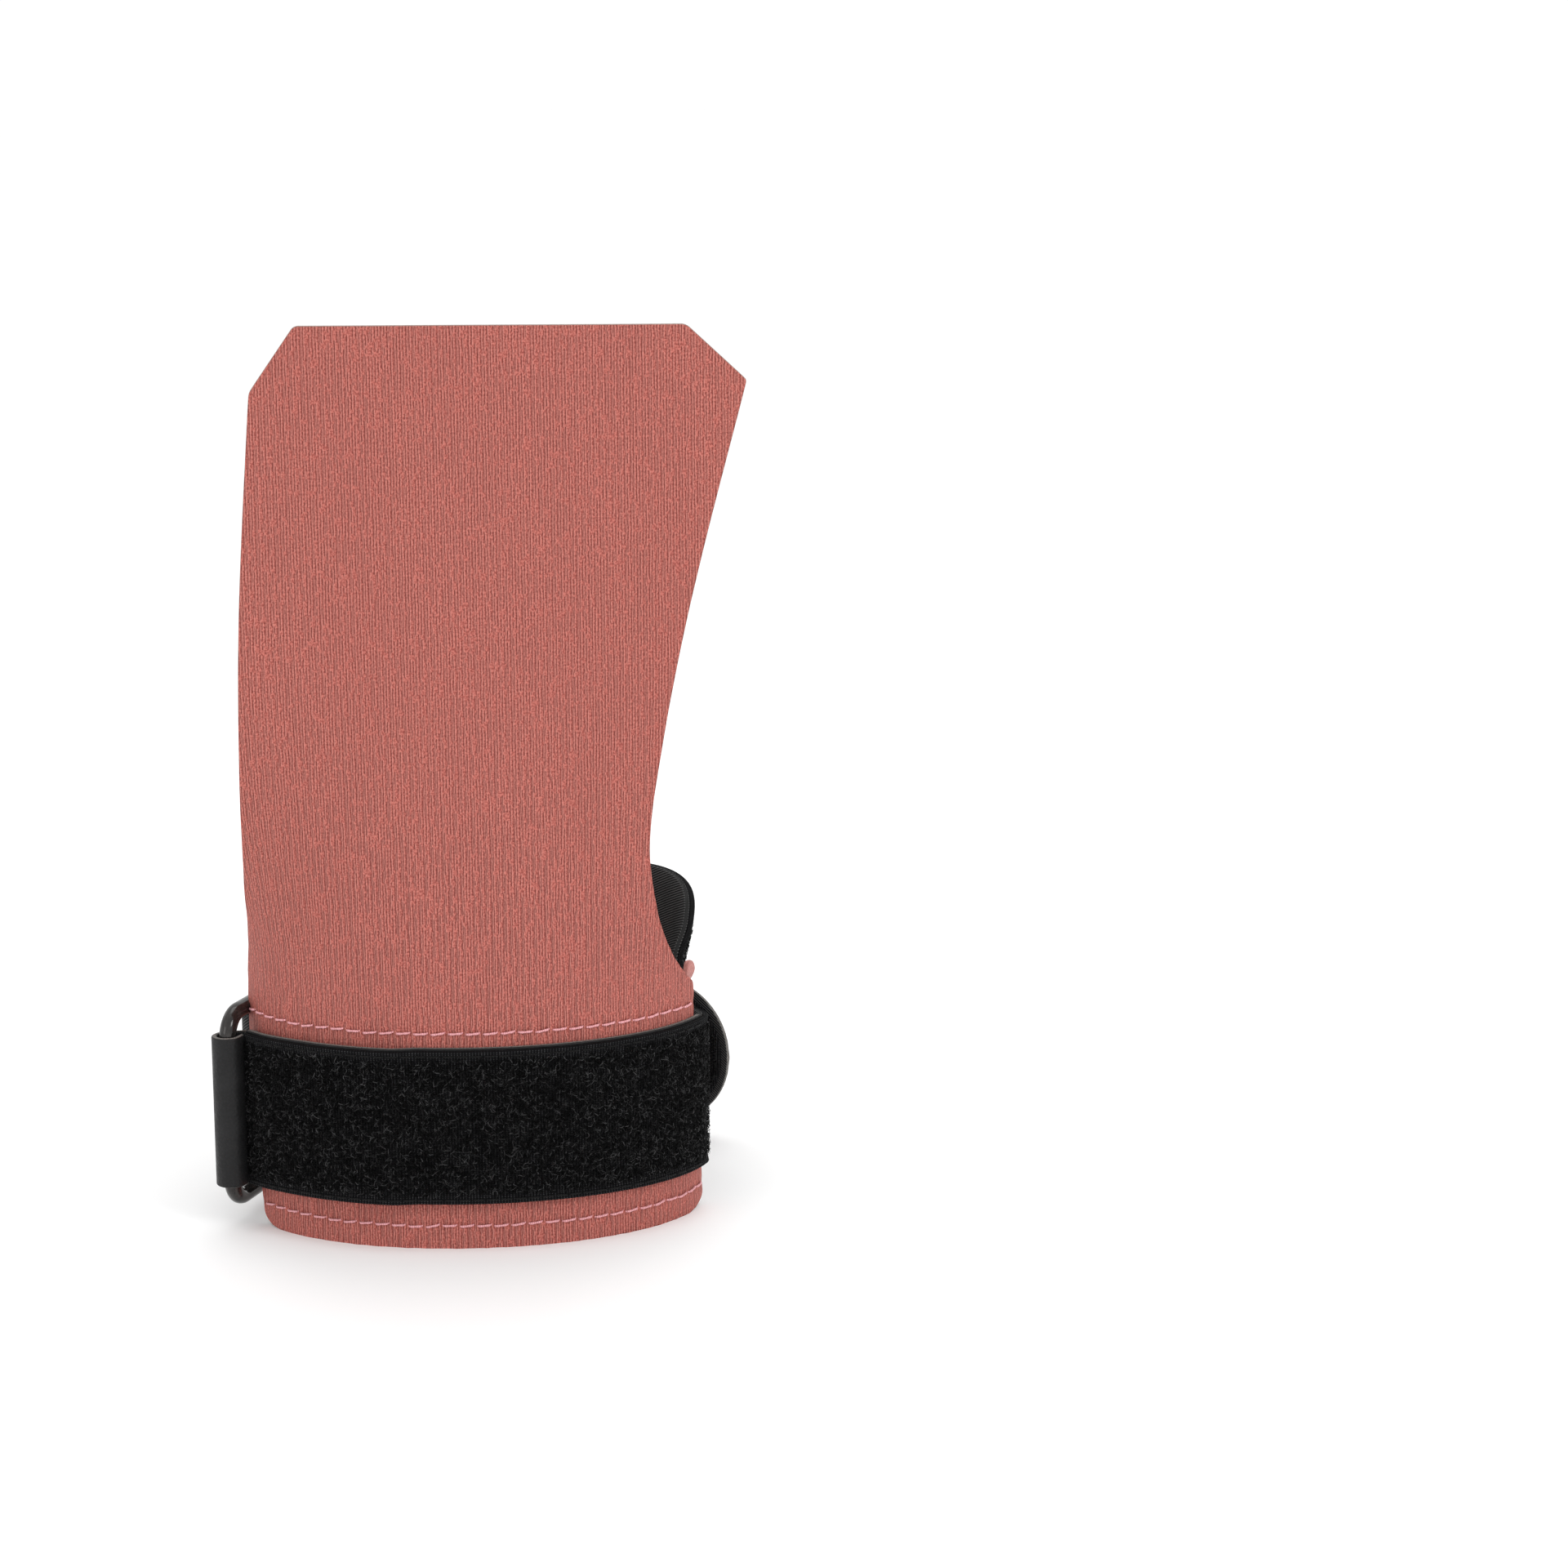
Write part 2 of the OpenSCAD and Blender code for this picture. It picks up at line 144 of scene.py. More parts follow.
def through(points, x):
    """Smooth curve through (x, value) points, as the CAD's own function draws it."""
    p = np.asarray(points, float)
    i = np.clip(np.searchsorted(p[:, 0], x, side="right") - 1, 0, len(p) - 2)
    low, high = np.maximum(np.arange(len(p)) - 1, 0), np.minimum(np.arange(len(p)) + 1, len(p) - 1)
    slope = (p[high, 1] - p[low, 1]) / (p[high, 0] - p[low, 0])
    h = p[i + 1, 0] - p[i, 0]
    u = (x - p[i, 0]) / h
    a, d = p[i, 1], p[i + 1, 1]
    b, c = a + slope[i] * h / 3, d - slope[i + 1] * h / 3
    return (1 - u) ** 3 * a + 3 * u * (1 - u) ** 2 * b + 3 * u * u * (1 - u) * c + u**3 * d


def run_along(points):
    """Length along a row of points, from 0."""
    return np.concatenate([[0], np.cumsum(np.linalg.norm(np.diff(points, axis=0), axis=1))])


def spread(s, run, points):
    """Points at lengths s along a row of points; run is the length at each."""
    return np.stack([np.interp(s, run, points[:, k]) for k in range(points.shape[1])], -1)


def raised(xy, z):
    """Plan points or directions with a height added."""
    return np.concatenate([xy, np.broadcast_to(z, xy.shape[:-1])[..., None]], -1)


def soft_max(a, b, r):
    return (a + b + np.sqrt((a - b) ** 2 + r * r)) / 2


def noise(u, v, cell_u, cell_v, seed):
    """Smooth random heights from -1 to 1 over a grid of cells."""
    table = np.random.default_rng(seed).uniform(-1, 1, (257, 257))
    x, y = np.asarray(u, float) / cell_u + 100, np.asarray(v, float) / cell_v + 100
    i, j = np.floor(x).astype(int), np.floor(y).astype(int)
    fx, fy = x - i, y - j
    fx, fy = fx * fx * (3 - 2 * fx), fy * fy * (3 - 2 * fy)
    i, j = i % 256, j % 256
    return (
        table[i, j] * (1 - fx) * (1 - fy)
        + table[i + 1, j] * fx * (1 - fy)
        + table[i, j + 1] * (1 - fx) * fy
        + table[i + 1, j + 1] * fx * fy
    )


# ---------------------------------------------------------------- the object's curves
LEFT_EDGE = [(0, -44.5), (20, -45.9), (45, -47.1), (66, -46.1), (100, -45.6), (134, -44.2), (176, -41)]
RIGHT_EDGE = [
    (0, 47.4), (7, 47.2), (14.5, 46.7), (27.5, 46.0), (40, 45.4), (50, 45.3), (52.6, 43.7), (59, 40.4),
    (68, 37.6), (82, 36), (100, 38), (133, 44.3), (178, 55.8),
]
LEFT_CHAMFER = ((175, -41.2), (187.5, -32.4))
RIGHT_CHAMFER = ((176.5, 56.2), (188.3, 43.4))


def line_at(p, z):
    return p[0][1] + (z - p[0][0]) * (p[1][1] - p[0][1]) / (p[1][0] - p[0][0])


def corner(d, r):
    """How far a round corner of radius r draws in at distance d from its end."""
    d = np.clip(d, 0, r)
    return r - np.sqrt(np.maximum(0, r * r - (r - d) ** 2))


def sheet_left(z):
    """The sheet's left edge at height z, chamfer and round corners included."""
    side = soft_max(through(LEFT_EDGE, z), line_at(LEFT_CHAMFER, z), 0.3)
    return side + corner(SHEET_TOP - z, SHEET_ROUND) + corner(z, FOOT_ROUND)


def sheet_right(z):
    side = -soft_max(-through(RIGHT_EDGE, z), -line_at(RIGHT_CHAMFER, z), 0.3)
    return side - corner(SHEET_TOP - z, SHEET_ROUND) - corner(z, FOOT_ROUND)


def face_y(x, z):
    """The sheet's outer face: the cuff's curve low down, almost flat at the finger end."""
    curl = 1 - CURL_LOST * smooth(CURL_FROM, FLAT_FROM, z)
    half = lerp(CUFF_HALF_W, FLAT_HALF_W, smooth(OPEN_FROM, FLAT_FROM, z))
    return -CUFF_DEPTH + curl * CUFF_DEPTH * (1 - np.sqrt(np.maximum(0, 1 - (x / half) ** 2)))


def cuff_normal(t):
    s, c = np.sin(np.radians(t)), np.cos(np.radians(t))
    return unit(np.stack([CUFF_DEPTH * s, -CUFF_HALF_W * c], -1))


def cuff_plan(t, off):
    s, c = np.sin(np.radians(t)), np.cos(np.radians(t))
    off = np.asarray(off, float)[..., None]
    return np.stack([CUFF_HALF_W * s, -CUFF_DEPTH * c], -1) + off * cuff_normal(t)


def strap_z(t):
    return STRAP_MID - (STRAP_MID - RING_MID) * (1 - smooth(STRAP_LEFT - 8, STRAP_LEFT + 26, t))


def base_off(t):
    """Foot of the strap base over the panel: it steps down where the keeper's inner leg ends."""
    return GAP + (LEATHER_T + GAP) * (1 - smooth(LEG_END, LEG_END + 8, t))


PATH_START = cuff_plan(STRAP_RIGHT, LEATHER_T / 2 + GAP)
CUFF_RUN = unit(np.array([CUFF_HALF_W * math.cos(math.radians(STRAP_RIGHT)),
                          CUFF_DEPTH * math.sin(math.radians(STRAP_RIGHT))]))
REAR = (
    [PATH_START, PATH_START + 4.5 * CUFF_RUN, (41.2, -1.5), (40.2, 6)],
    [(40.2, 6), (39.13, 14), (55, 44), (4, 44)],
    [(4, 44), (-24, 44), FOLD_IN + 14 * RING_DIR, FOLD_IN],
)
FLAP = (
    [FOLD_END, FOLD_END + 18 * RING_DIR, (-27, 50.4), (4, 50.4)],
    [(4, 50.4), (24, 50.4), (42, 48), (55.6, 38)],
)


def chain(parts, u):
    """A point on a chain of Beziers; u counts one for each."""
    u = np.asarray(u, float)
    out = np.zeros(u.shape + (2,))
    for k, part in enumerate(parts):
        here = (u >= k) & (u <= k + 1) if k == len(parts) - 1 else (u >= k) & (u < k + 1)
        out[here] = bezier(part, u[here] - k)
    return out


class Route:
    """A strap's line: centre points, its outward and across directions, and the length so far."""

    def __init__(self, centre, out, across):
        self.centre, self.out, self.across = centre, unit(out), unit(across)
        self.length = run_along(centre)

    def part(self, keep):
        return Route(self.centre[keep], self.out[keep], self.across[keep])

    def joined(self, other):
        return Route(np.concatenate([self.centre, other.centre]), np.concatenate([self.out, other.out]),
                     np.concatenate([self.across, other.across]))

    def at(self, s):
        """Centre, out and across at lengths s."""
        centre, out, across = (spread(s, self.length, a) for a in (self.centre, self.out, self.across))
        return centre, unit(out), unit(across)


def plan_route(xy, z, out_sign, lean=0.0, turn=0.0):
    """A route from plan points and heights. out_sign picks the outer side; lean tips its top outwards."""
    z = np.broadcast_to(np.asarray(z, float), xy.shape[:1])
    d = unit(np.gradient(xy, axis=0))
    n = np.stack([d[:, 1], -d[:, 0]], -1) * out_sign
    run = np.maximum(np.linalg.norm(np.gradient(xy, axis=0), axis=1), 1e-6)
    rise = turn * np.gradient(z) / run
    lean = np.broadcast_to(np.asarray(lean, float), z.shape)
    across = raised(lean[:, None] * n - rise[:, None] * d, 1)
    return Route(raised(xy, z), raised(n, 0), across)


def cuff_route(t0, t1, count, off, z):
    """A route round the cuff between two angles. Offset and height are numbers or functions of the angle."""
    t = np.linspace(t0, t1, count)
    lift = off(t) if callable(off) else np.full(count, off)
    height = z(t) if callable(z) else np.full(count, z)
    centre = raised(cuff_plan(t, lift), height)
    return Route(centre, raised(cuff_normal(t), 0), np.tile([0.0, 0, 1], (count, 1)))


REAR_STEPS = np.linspace(0, 3, 600)


def rear_route():
    """The rear strap's middle line: it rises behind the wrist and leans outwards there."""
    u = REAR_STEPS
    z = lerp(STRAP_MID, RING_MID, u / 3) + STRAP_RISE * smooth(*RISE_SPAN, u) * (1 - smooth(*FALL_SPAN, u))
    lean = STRAP_LEAN * smooth(*LEAN_SPAN, u) * (1 - smooth(*UPRIGHT_SPAN, u))
    return plan_route(chain(REAR, u), z, 1, lean, STRAP_TURN)


def flap_route():
    u = np.linspace(0, 2, 420)
    return plan_route(chain(FLAP, u), lerp(RING_MID, FLAP_TIP_Z, smooth(0.2, 2, u)), -1)


# ---------------------------------------------------------------- meshes
def make_mesh(name, points, faces, materials, uv=None, slots=None):
    """A mesh object from numpy arrays: quads or triangles, one UV per vertex, in millimetres."""
    mesh = bpy.data.meshes.new(name)
    faces = np.asarray(faces)
    corners = faces.shape[1]
    mesh.vertices.add(len(points))
    mesh.vertices.foreach_set("co", (np.asarray(points, float) * MM).ravel())
    mesh.loops.add(faces.size)
    mesh.loops.foreach_set("vertex_index", faces.ravel())
    mesh.polygons.add(len(faces))
    mesh.polygons.foreach_set("loop_start", np.arange(len(faces)) * corners)
    mesh.polygons.foreach_set("loop_total", np.full(len(faces), corners))
    mesh.polygons.foreach_set("use_smooth", np.full(len(faces), True))
    if slots is not None:
        mesh.polygons.foreach_set("material_index", np.asarray(slots, int))
    if uv is not None:
        layer = mesh.uv_layers.new(name="flat_mm")
        layer.data.foreach_set("uv", np.asarray(uv, float)[faces.ravel()].ravel())
    for material in materials:
        mesh.materials.append(material)
    mesh.update(calc_edges=True)
    mesh.validate()
    piece = bpy.data.objects.new(name, mesh)
    bpy.context.scene.collection.objects.link(piece)
    return piece


def grid_faces(rows, cols):
    i = (np.arange(rows - 1)[:, None] * cols + np.arange(cols - 1)[None, :]).ravel()
    return np.stack([i, i + 1, i + cols + 1, i + cols], -1)


def boundary(rows, cols):
    """Grid indices once round the edge, counterclockwise as the grid's own faces go."""
    index = np.arange(rows * cols).reshape(rows, cols)
    return np.concatenate([index[0, :-1], index[:-1, -1], index[-1, :0:-1], index[:0:-1, 0]])


def skin(name, front, back, uv, materials, bulge=0.12):
    """A closed sheet from two grids of points. Slot 0 is the front, 1 the cut edge, 2 the back."""
    rows, cols = front.shape[:2]
    n = rows * cols
    f, b = front.reshape(n, 3), back.reshape(n, 3)
    loop = boundary(rows, cols)
    edge_f, edge_b = f[loop], b[loop]
    centre = (edge_f + edge_b) / 2
    thick = unit(edge_f - edge_b)
    run = unit(np.roll(centre, -1, 0) - np.roll(centre, 1, 0))
    away = unit(np.cross(run, thick))
    m = len(loop)
    rings = [edge_f]
    for k in (0.12, 0.5, 0.88):
        rings.append(lerp(edge_f, edge_b, k) + bulge * math.sin(math.pi * k) ** 0.5 * away)
    rings.append(edge_b)
    points = np.concatenate([f, b] + rings)
    quads = grid_faces(rows, cols)
    faces = [quads, quads[:, ::-1] + n]
    slots = [np.zeros(len(faces[0])), np.full(len(faces[1]), 2)]
    j = np.arange(m)
    nxt = (j + 1) % m
    for k in range(len(rings) - 1):
        a = 2 * n + k * m
        faces.append(np.stack([a + j, a + m + j, a + m + nxt, a + nxt], -1))
        slots.append(np.full(m, 1))
    flat = uv.reshape(n, 2)
    uvs = np.concatenate([flat, flat] + [flat[loop] + 0.9 * k for k in range(len(rings))])
    piece = make_mesh(name, points, np.concatenate(faces), materials, uvs, np.concatenate(slots))
    weld(piece)
    return piece


def weld(piece, angle=50):
    """Joins equal points and keeps the corners between the faces and the cut edge sharp."""
    mesh = piece.data
    work = bmesh.new()
    work.from_mesh(mesh)
    bmesh.ops.remove_doubles(work, verts=work.verts, dist=1e-7)
    bmesh.ops.recalc_face_normals(work, faces=work.faces)
    limit = math.radians(angle)
    for edge in work.edges:
        edge.smooth = not (edge.is_manifold and edge.calc_face_angle(0) > limit)
    work.to_mesh(mesh)
    work.free()
    mesh.update()


def strip(name, route, half, low, high, materials, cols=13, edge_r=0.4, ends=True, ripple=None, bulge=0.1):
    """A flat strap along a route, from offset low to high, with edges rounded by edge_r."""
    count = len(route.length)
    half = np.broadcast_to(np.asarray(half, float), (count,))
    near = np.array([0.12, 0.35, 0.7, 1.0]) * edge_r
    across = []
    for h in half:
        inner = np.linspace(-h + edge_r, h - edge_r, max(cols - 8, 3))
        across.append(np.concatenate([[-h], -h + near[:-1], inner, (h - near[:-1])[::-1], [h]]))
    across = np.array(across)
    dist = half[:, None] - np.abs(across)
    if ends:
        tip = np.minimum(route.length, route.length[-1] - route.length)[:, None]
        dist = np.minimum(dist, tip)
    drop = corner(dist, edge_r) * 0.8
    extra = ripple(route.length[:, None], across) if ripple else 0.0
    flat = route.centre[:, None, :] + route.across[:, None, :] * across[..., None]
    place = lambda off: flat + route.out[:, None, :] * off[..., None]
    front = place(high - drop + extra)
    back = place(low + np.minimum(drop, (high - low) * 0.3))
    uv = np.stack([np.broadcast_to(route.length[:, None], across.shape), across], -1)
    return skin(name, front, back, uv, materials, bulge)


def tube_rings(centres, frames_u, frames_v, radius, sides, lobes=0.0, twist=0.0):
    """Rings of points round each centre; lobes and twist make a two-ply thread."""
    k = np.linspace(0, 2 * math.pi, sides, endpoint=False)
    turn = np.linspace(0, twist, centres.shape[-2])[..., None]
    r = np.asarray(radius)[..., None] * (1 + lobes * np.cos(2 * (k - turn)))
    return (
        centres[..., None, :]
        + (r * np.cos(k))[..., None] * frames_u[..., None, :]
        + (r * np.sin(k))[..., None] * frames_v[..., None, :]
    )


def tubes(name, centres, frames_u, frames_v, radius, sides, material, lobes=0.0, twist=0.0):
    """Many closed tubes at once: centres is tubes x rings x 3."""
    count, rings = centres.shape[:2]
    ring = tube_rings(centres, frames_u, frames_v, radius, sides, lobes, twist)
    points = ring.reshape(-1, 3)
    j = np.arange(sides)
    nxt = (j + 1) % sides
    base = (np.arange(rings - 1) * sides)[:, None]
    quad = np.stack([base + j, base + nxt, base + sides + nxt, base + sides + j], -1).reshape(-1, 4)
    tri = np.concatenate([quad[:, [0, 1, 2]], quad[:, [0, 2, 3]]])
    fan = np.arange(1, sides - 1)
    low = np.stack([np.zeros_like(fan), fan + 1, fan], -1)
    top = (rings - 1) * sides + np.stack([np.zeros_like(fan), fan, fan + 1], -1)
    one = np.concatenate([tri, low, top])
    faces = (one[None] + (np.arange(count) * rings * sides)[:, None, None]).reshape(-1, 3)
    along = np.broadcast_to(np.arange(rings)[None, :, None], (count, rings, sides)).reshape(-1)
    which = np.broadcast_to(np.arange(count)[:, None, None], (count, rings, sides)).reshape(-1)
    uv = np.stack([which * 1.7, along], -1)
    return make_mesh(name, points, faces, [material], uv)


# ---------------------------------------------------------------- materials
def feed(socket, value):
    """Links an output to a socket, or sets the socket's own value. A colour gets its alpha."""
    if isinstance(value, bpy.types.NodeSocket):
        socket.id_data.links.new(value, socket)
    else:
        socket.default_value = value + (1,) if socket.type == "RGBA" else value


class Shade:
    """A material being built: short calls for the nodes that the looks below need."""

    def __init__(self, name, roughness=0.6, **plain):
        self.material = bpy.data.materials.new(name)
        self.material.use_nodes = True
        self.tree = self.material.node_tree
        self.tree.nodes.clear()
        out = self.add("ShaderNodeOutputMaterial")
        self.body = self.add("ShaderNodeBsdfPrincipled", {"Roughness": roughness})
        for key, value in plain.items():
            self.body.inputs[key.replace("_", " ")].default_value = value
        feed(out.inputs[0], self.body.outputs[0])
        self.uv = self.add("ShaderNodeUVMap", uv_map="flat_mm").outputs[0]

    def add(self, kind, values=None, **props):
        """A shader node with its inputs set or linked."""
        made = self.tree.nodes.new(kind)
        for key, value in props.items():
            setattr(made, key, value)
        for key, value in (values or {}).items():
            feed(made.inputs[key], value)
        return made

    def place(self, scale, offset=(0, 0, 0), turn=0.0):
        """The flat coordinates, in millimetres, moved, turned and scaled."""
        values = {"Vector": self.uv, "Location": offset, "Rotation": (0, 0, turn), "Scale": scale + (1,)}
        return self.add("ShaderNodeMapping", values).outputs[0]

    def noise(self, vector, scale=1.0, detail=2.0, rough=0.5, distortion=0.0):
        values = {"Vector": vector, "Scale": scale, "Detail": detail}
        values.update({"Roughness": rough, "Distortion": distortion})
        return self.add("ShaderNodeTexNoise", values, noise_dimensions="2D").outputs[0]

    def wave(self, vector, scale, distortion=0.0, direction="X"):
        values = {"Vector": vector, "Scale": scale, "Distortion": distortion}
        return self.add("ShaderNodeTexWave", values, bands_direction=direction).outputs[1]

    def math(self, kind, a, b=0.0, c=0.0):
        made = self.add("ShaderNodeMath", operation=kind)
        for socket, value in zip(made.inputs, (a, b, c)):
            feed(socket, value)
        return made.outputs[0]

    def times(self, a, b):
        return self.math("MULTIPLY", a, b)

    def span(self, value, a, b, low=0.0, high=1.0, steps="SMOOTHSTEP"):
        values = {"Value": value, "From Min": a, "From Max": b, "To Min": low, "To Max": high}
        return self.add("ShaderNodeMapRange", values, interpolation_type=steps).outputs[0]

    def mix(self, factor, a, b):
        made = self.add("ShaderNodeMix", data_type="RGBA")
        for k, value in ((0, factor), (6, a), (7, b)):
            feed(made.inputs[k], value)
        return made.outputs[2]

    def colour(self, value):
        feed(self.body.inputs["Base Color"], value)

    def rough(self, value):
        feed(self.body.inputs["Roughness"], value)

    def bump(self, height, distance=0.001, strength=1.0):
        values = {"Height": height, "Distance": distance, "Strength": strength}
        feed(self.body.inputs["Normal"], self.add("ShaderNodeBump", values).outputs[0])


def slub_lines(s, pitch, reach, seed, keep, width, sway=0.5):
    """Upright lines on a grid of columns, each broken in its own places. Gives the dark line, painted shade
    in its groove, and the pale raised band beside it, a painted highlight on the groove's lit side."""
    split = s.add("ShaderNodeSeparateXYZ", {"Vector": s.uv})
    swing = s.math("SUBTRACT", s.noise(s.place((0.45, 0.30), (seed, 2 * seed, 0)), detail=2), 0.5)
    jog = s.math("SUBTRACT", s.noise(s.place((0.9, 0.8), (3 * seed, seed, 0)), detail=1), 0.5)
    x = s.math("MULTIPLY_ADD", split.outputs[0], 1 / pitch, s.times(swing, sway * 2.2))
    x = s.math("MULTIPLY_ADD", jog, sway, x)
    column = s.math("FLOOR", x)
    across = s.math("SUBTRACT", x, column)
    along = s.times(split.outputs[1], reach)
    place = {"X": s.math("MULTIPLY_ADD", column, 7.31, seed * 11.7), "Y": along}
    own = s.noise(s.add("ShaderNodeCombineXYZ", place).outputs[0], detail=1.5)
    here = s.span(own, keep, keep + 0.10)
    off = lambda middle: s.math("ABSOLUTE", s.math("SUBTRACT", across, middle))
    # The dark line is painted shade in a groove; the pale band beside it is a painted highlight on the
    # groove's lit side.
    dark = s.span(off(0.45), 0.0, width, 1.0, 0.0)
    pale = s.span(off(0.45 + width * 1.25), 0.0, width * 0.9, 1.0, 0.0)
    return s.times(dark, here), s.times(pale, here)


def coral_sheet():
    """Matt coated microfibre: fine wavy upright lines, broken at random, over a dotted grain. The lines'
    grooves and the grain's pits are darkened as painted shade, with a painted highlight beside each line.
    """
    s = Shade("panel_coral_microfibre", 0.6, Specular_IOR_Level=0.12)
    bold, bold_ridge_highlight = slub_lines(s, 1.20, 0.18, 2.3, 0.40, 0.12, 0.13)
    fine, fine_ridge_highlight = slub_lines(s, 0.60, 0.55, 5.9, 0.36, 0.27, 0.16)
    split = s.add("ShaderNodeSeparateXYZ", {"Vector": s.uv})
    near_cuff = s.span(split.outputs[1], 60.0, 125.0, 0.80, 0.45)
    patch = s.span(s.noise(s.place((0.16, 0.045), (5, 9, 0)), detail=2), 0.32, 0.68)
    cloud = s.span(s.noise(s.place((0.06, 0.02), (1, 2, 0)), detail=2), 0.3, 0.7)
    grain = s.noise(s.place((2.7, 2.3), (2, 6, 0)), detail=1.5, rough=0.6)
    place = {"Vector": s.place((1.9, 1.6)), "Randomness": 0.55}
    dots = s.add("ShaderNodeTexVoronoi", place).outputs[0]
    # Pits of the dotted grain: sunk in the bump and darkened in the colour as painted shade.
    pits_and_painted_shade = s.span(dots, 0.05, 0.32, 1.0, 0.0)
    bold = s.times(bold, near_cuff)
    fine = s.times(fine, s.math("MULTIPLY_ADD", patch, 0.12, 0.68))
    # The lines' dark marks are painted shade in their grooves, and the pale bands beside them are painted
    # highlights.
    crease_and_painted_shade = s.math("MAXIMUM", bold, fine)
    ridge_and_painted_highlight = s.math("MAXIMUM", s.times(bold_ridge_highlight, near_cuff), s.times(fine_ridge_highlight, 0.55))
    height = s.math("MULTIPLY_ADD", ridge_and_painted_highlight, 0.05, s.times(grain, 0.07))
    height = s.math("SUBTRACT", height, s.times(crease_and_painted_shade, 0.10))
    s.bump(s.math("SUBTRACT", height, s.times(pits_and_painted_shade, 0.03)))
    tone = s.mix(s.span(grain, 0.32, 0.68), (0.285, 0.068, 0.055), (0.540, 0.170, 0.138))
    tone = s.mix(s.times(patch, 0.12), tone, (0.455, 0.142, 0.118))
    tone = s.mix(s.times(cloud, 0.12), tone, (0.34, 0.092, 0.076))
    # Painted shade in the pits.
    tone = s.mix(s.times(pits_and_painted_shade, 0.42), tone, (0.22, 0.048, 0.038))
    # Painted highlight beside each line, then painted shade in each line's groove.
    tone = s.mix(s.times(ridge_and_painted_highlight, 0.80), tone, (0.70, 0.31, 0.26))
    s.colour(s.mix(s.times(crease_and_painted_shade, 0.90), tone, (0.115, 0.016, 0.015)))
    s.rough(s.span(grain, 0.3, 0.7, 0.52, 0.70))
    return s.material


def suede_back():
    """The sheet's inner side: short matt nap, a greyer coral."""
    s = Shade("panel_back_suede", 0.9, Sheen_Weight=0.4, Sheen_Roughness=0.6)
    nap = s.noise(s.place((3.0, 3.0)), detail=3, rough=0.6)
    cloud = s.noise(s.place((0.06, 0.05)), detail=3)
    tone = s.mix(s.span(nap, 0.3, 0.7), (0.30, 0.16, 0.14), (0.42, 0.25, 0.22))
    s.colour(s.mix(s.times(s.span(cloud, 0.35, 0.7), 0.35), tone, (0.36, 0.19, 0.17)))
    s.bump(s.times(nap, 0.12))
    return s.material


def cut_edge():
    """The sheet's cut edge: pressed fibres, grey-taupe."""
    s = Shade("cut_edge_taupe", 0.85)
    fibre = s.noise(s.place((2.5, 2.5)), detail=3, rough=0.65)
    s.colour(s.mix(s.span(fibre, 0.3, 0.7), (0.20, 0.13, 0.11), (0.42, 0.31, 0.27)))
    s.bump(s.times(fibre, 0.1))
    return s.material


def lining_cloth():
    """Brushed lining: soft nap, pinker than the sheet."""
    s = Shade("lining_brushed", 0.85, Sheen_Weight=0.2, Sheen_Roughness=0.5)
    nap = s.noise(s.place((2.2, 2.2)), detail=3, rough=0.65)
    knit = s.wave(s.place((1, 1)), 1.1, 1.5, "Y")
    s.colour(s.mix(s.span(nap, 0.3, 0.7), (0.38, 0.128, 0.110), (0.54, 0.215, 0.185)))
    s.bump(s.math("ADD", s.times(nap, 0.14), s.times(knit, 0.03)))
    return s.material


def foam_cut():
    s = Shade("foam_cells", 0.8)
    cells = s.add("ShaderNodeTexVoronoi", {"Vector": s.place((2.2, 2.2)), "Scale": 1.0}).outputs[0]
    s.colour(s.mix(s.span(cells, 0.1, 0.6), (0.035, 0.035, 0.037), (0.09, 0.09, 0.095)))
    s.bump(s.times(cells, 0.15))
    return s.material


def leather(tone, shine=0.42):
    """Smooth synthetic leather with a fine pebble grain."""
    s = Shade("strap_leather_black", shine, Specular_IOR_Level=0.20)
    place = {"Vector": s.place((1.9, 1.9)), "Scale": 1.0, "Randomness": 1.0}
    cells = s.add("ShaderNodeTexVoronoi", place)
    pebble = s.span(cells.outputs[0], 0.15, 0.75)
    fine = s.noise(s.place((4.0, 4.0)), detail=2)
    light = tuple(c * 1.45 for c in tone)
    wear = s.span(s.noise(s.place((0.12, 0.12)), detail=4, rough=0.6), 0.4, 0.75)
    s.colour(s.mix(s.times(wear, 0.6), s.mix(pebble, tone, tuple(c * 0.8 for c in tone)), light))
    s.rough(s.math("MULTIPLY_ADD", wear, 0.12, s.math("MULTIPLY_ADD", pebble, 0.08, shine - 0.05)))
    s.bump(s.math("ADD", s.times(pebble, -0.035), s.times(fine, 0.02)))
    return s.material


def leather_edge():
    s = Shade("leather_cut_edge", 0.8)
    fibre = s.noise(s.place((3.0, 3.0)), detail=3, rough=0.6)
    s.colour(s.mix(s.span(fibre, 0.35, 0.7), (0.05, 0.047, 0.043), (0.27, 0.25, 0.23)))
    s.bump(s.times(fibre, 0.08))
    return s.material


def tape_ground():
    """Ground weave of the loop tape, with fine upright ribs that show on its woven edges."""
    s = Shade("loop_tape_ground", 0.7, Specular_IOR_Level=0.05)
    ribs = s.wave(s.place((1, 1)), RIB_WAVE, 0.15, "X")
    picks = s.wave(s.place((1, 1)), 0.82, 0.3, "Y")
    knots = s.times(ribs, s.math("MULTIPLY_ADD", picks, 0.75, 0.25))
    worn = s.span(s.noise(s.place((0.5, 0.7)), detail=2), 0.3, 0.7, 0.35, 1.0)
    pale = s.times(s.span(knots, 0.35, 0.9), worn)
    s.colour(s.mix(pale, (0.004, 0.004, 0.0045), (0.062, 0.062, 0.064)))
    s.bump(s.times(knots, 0.10))
    return s.material


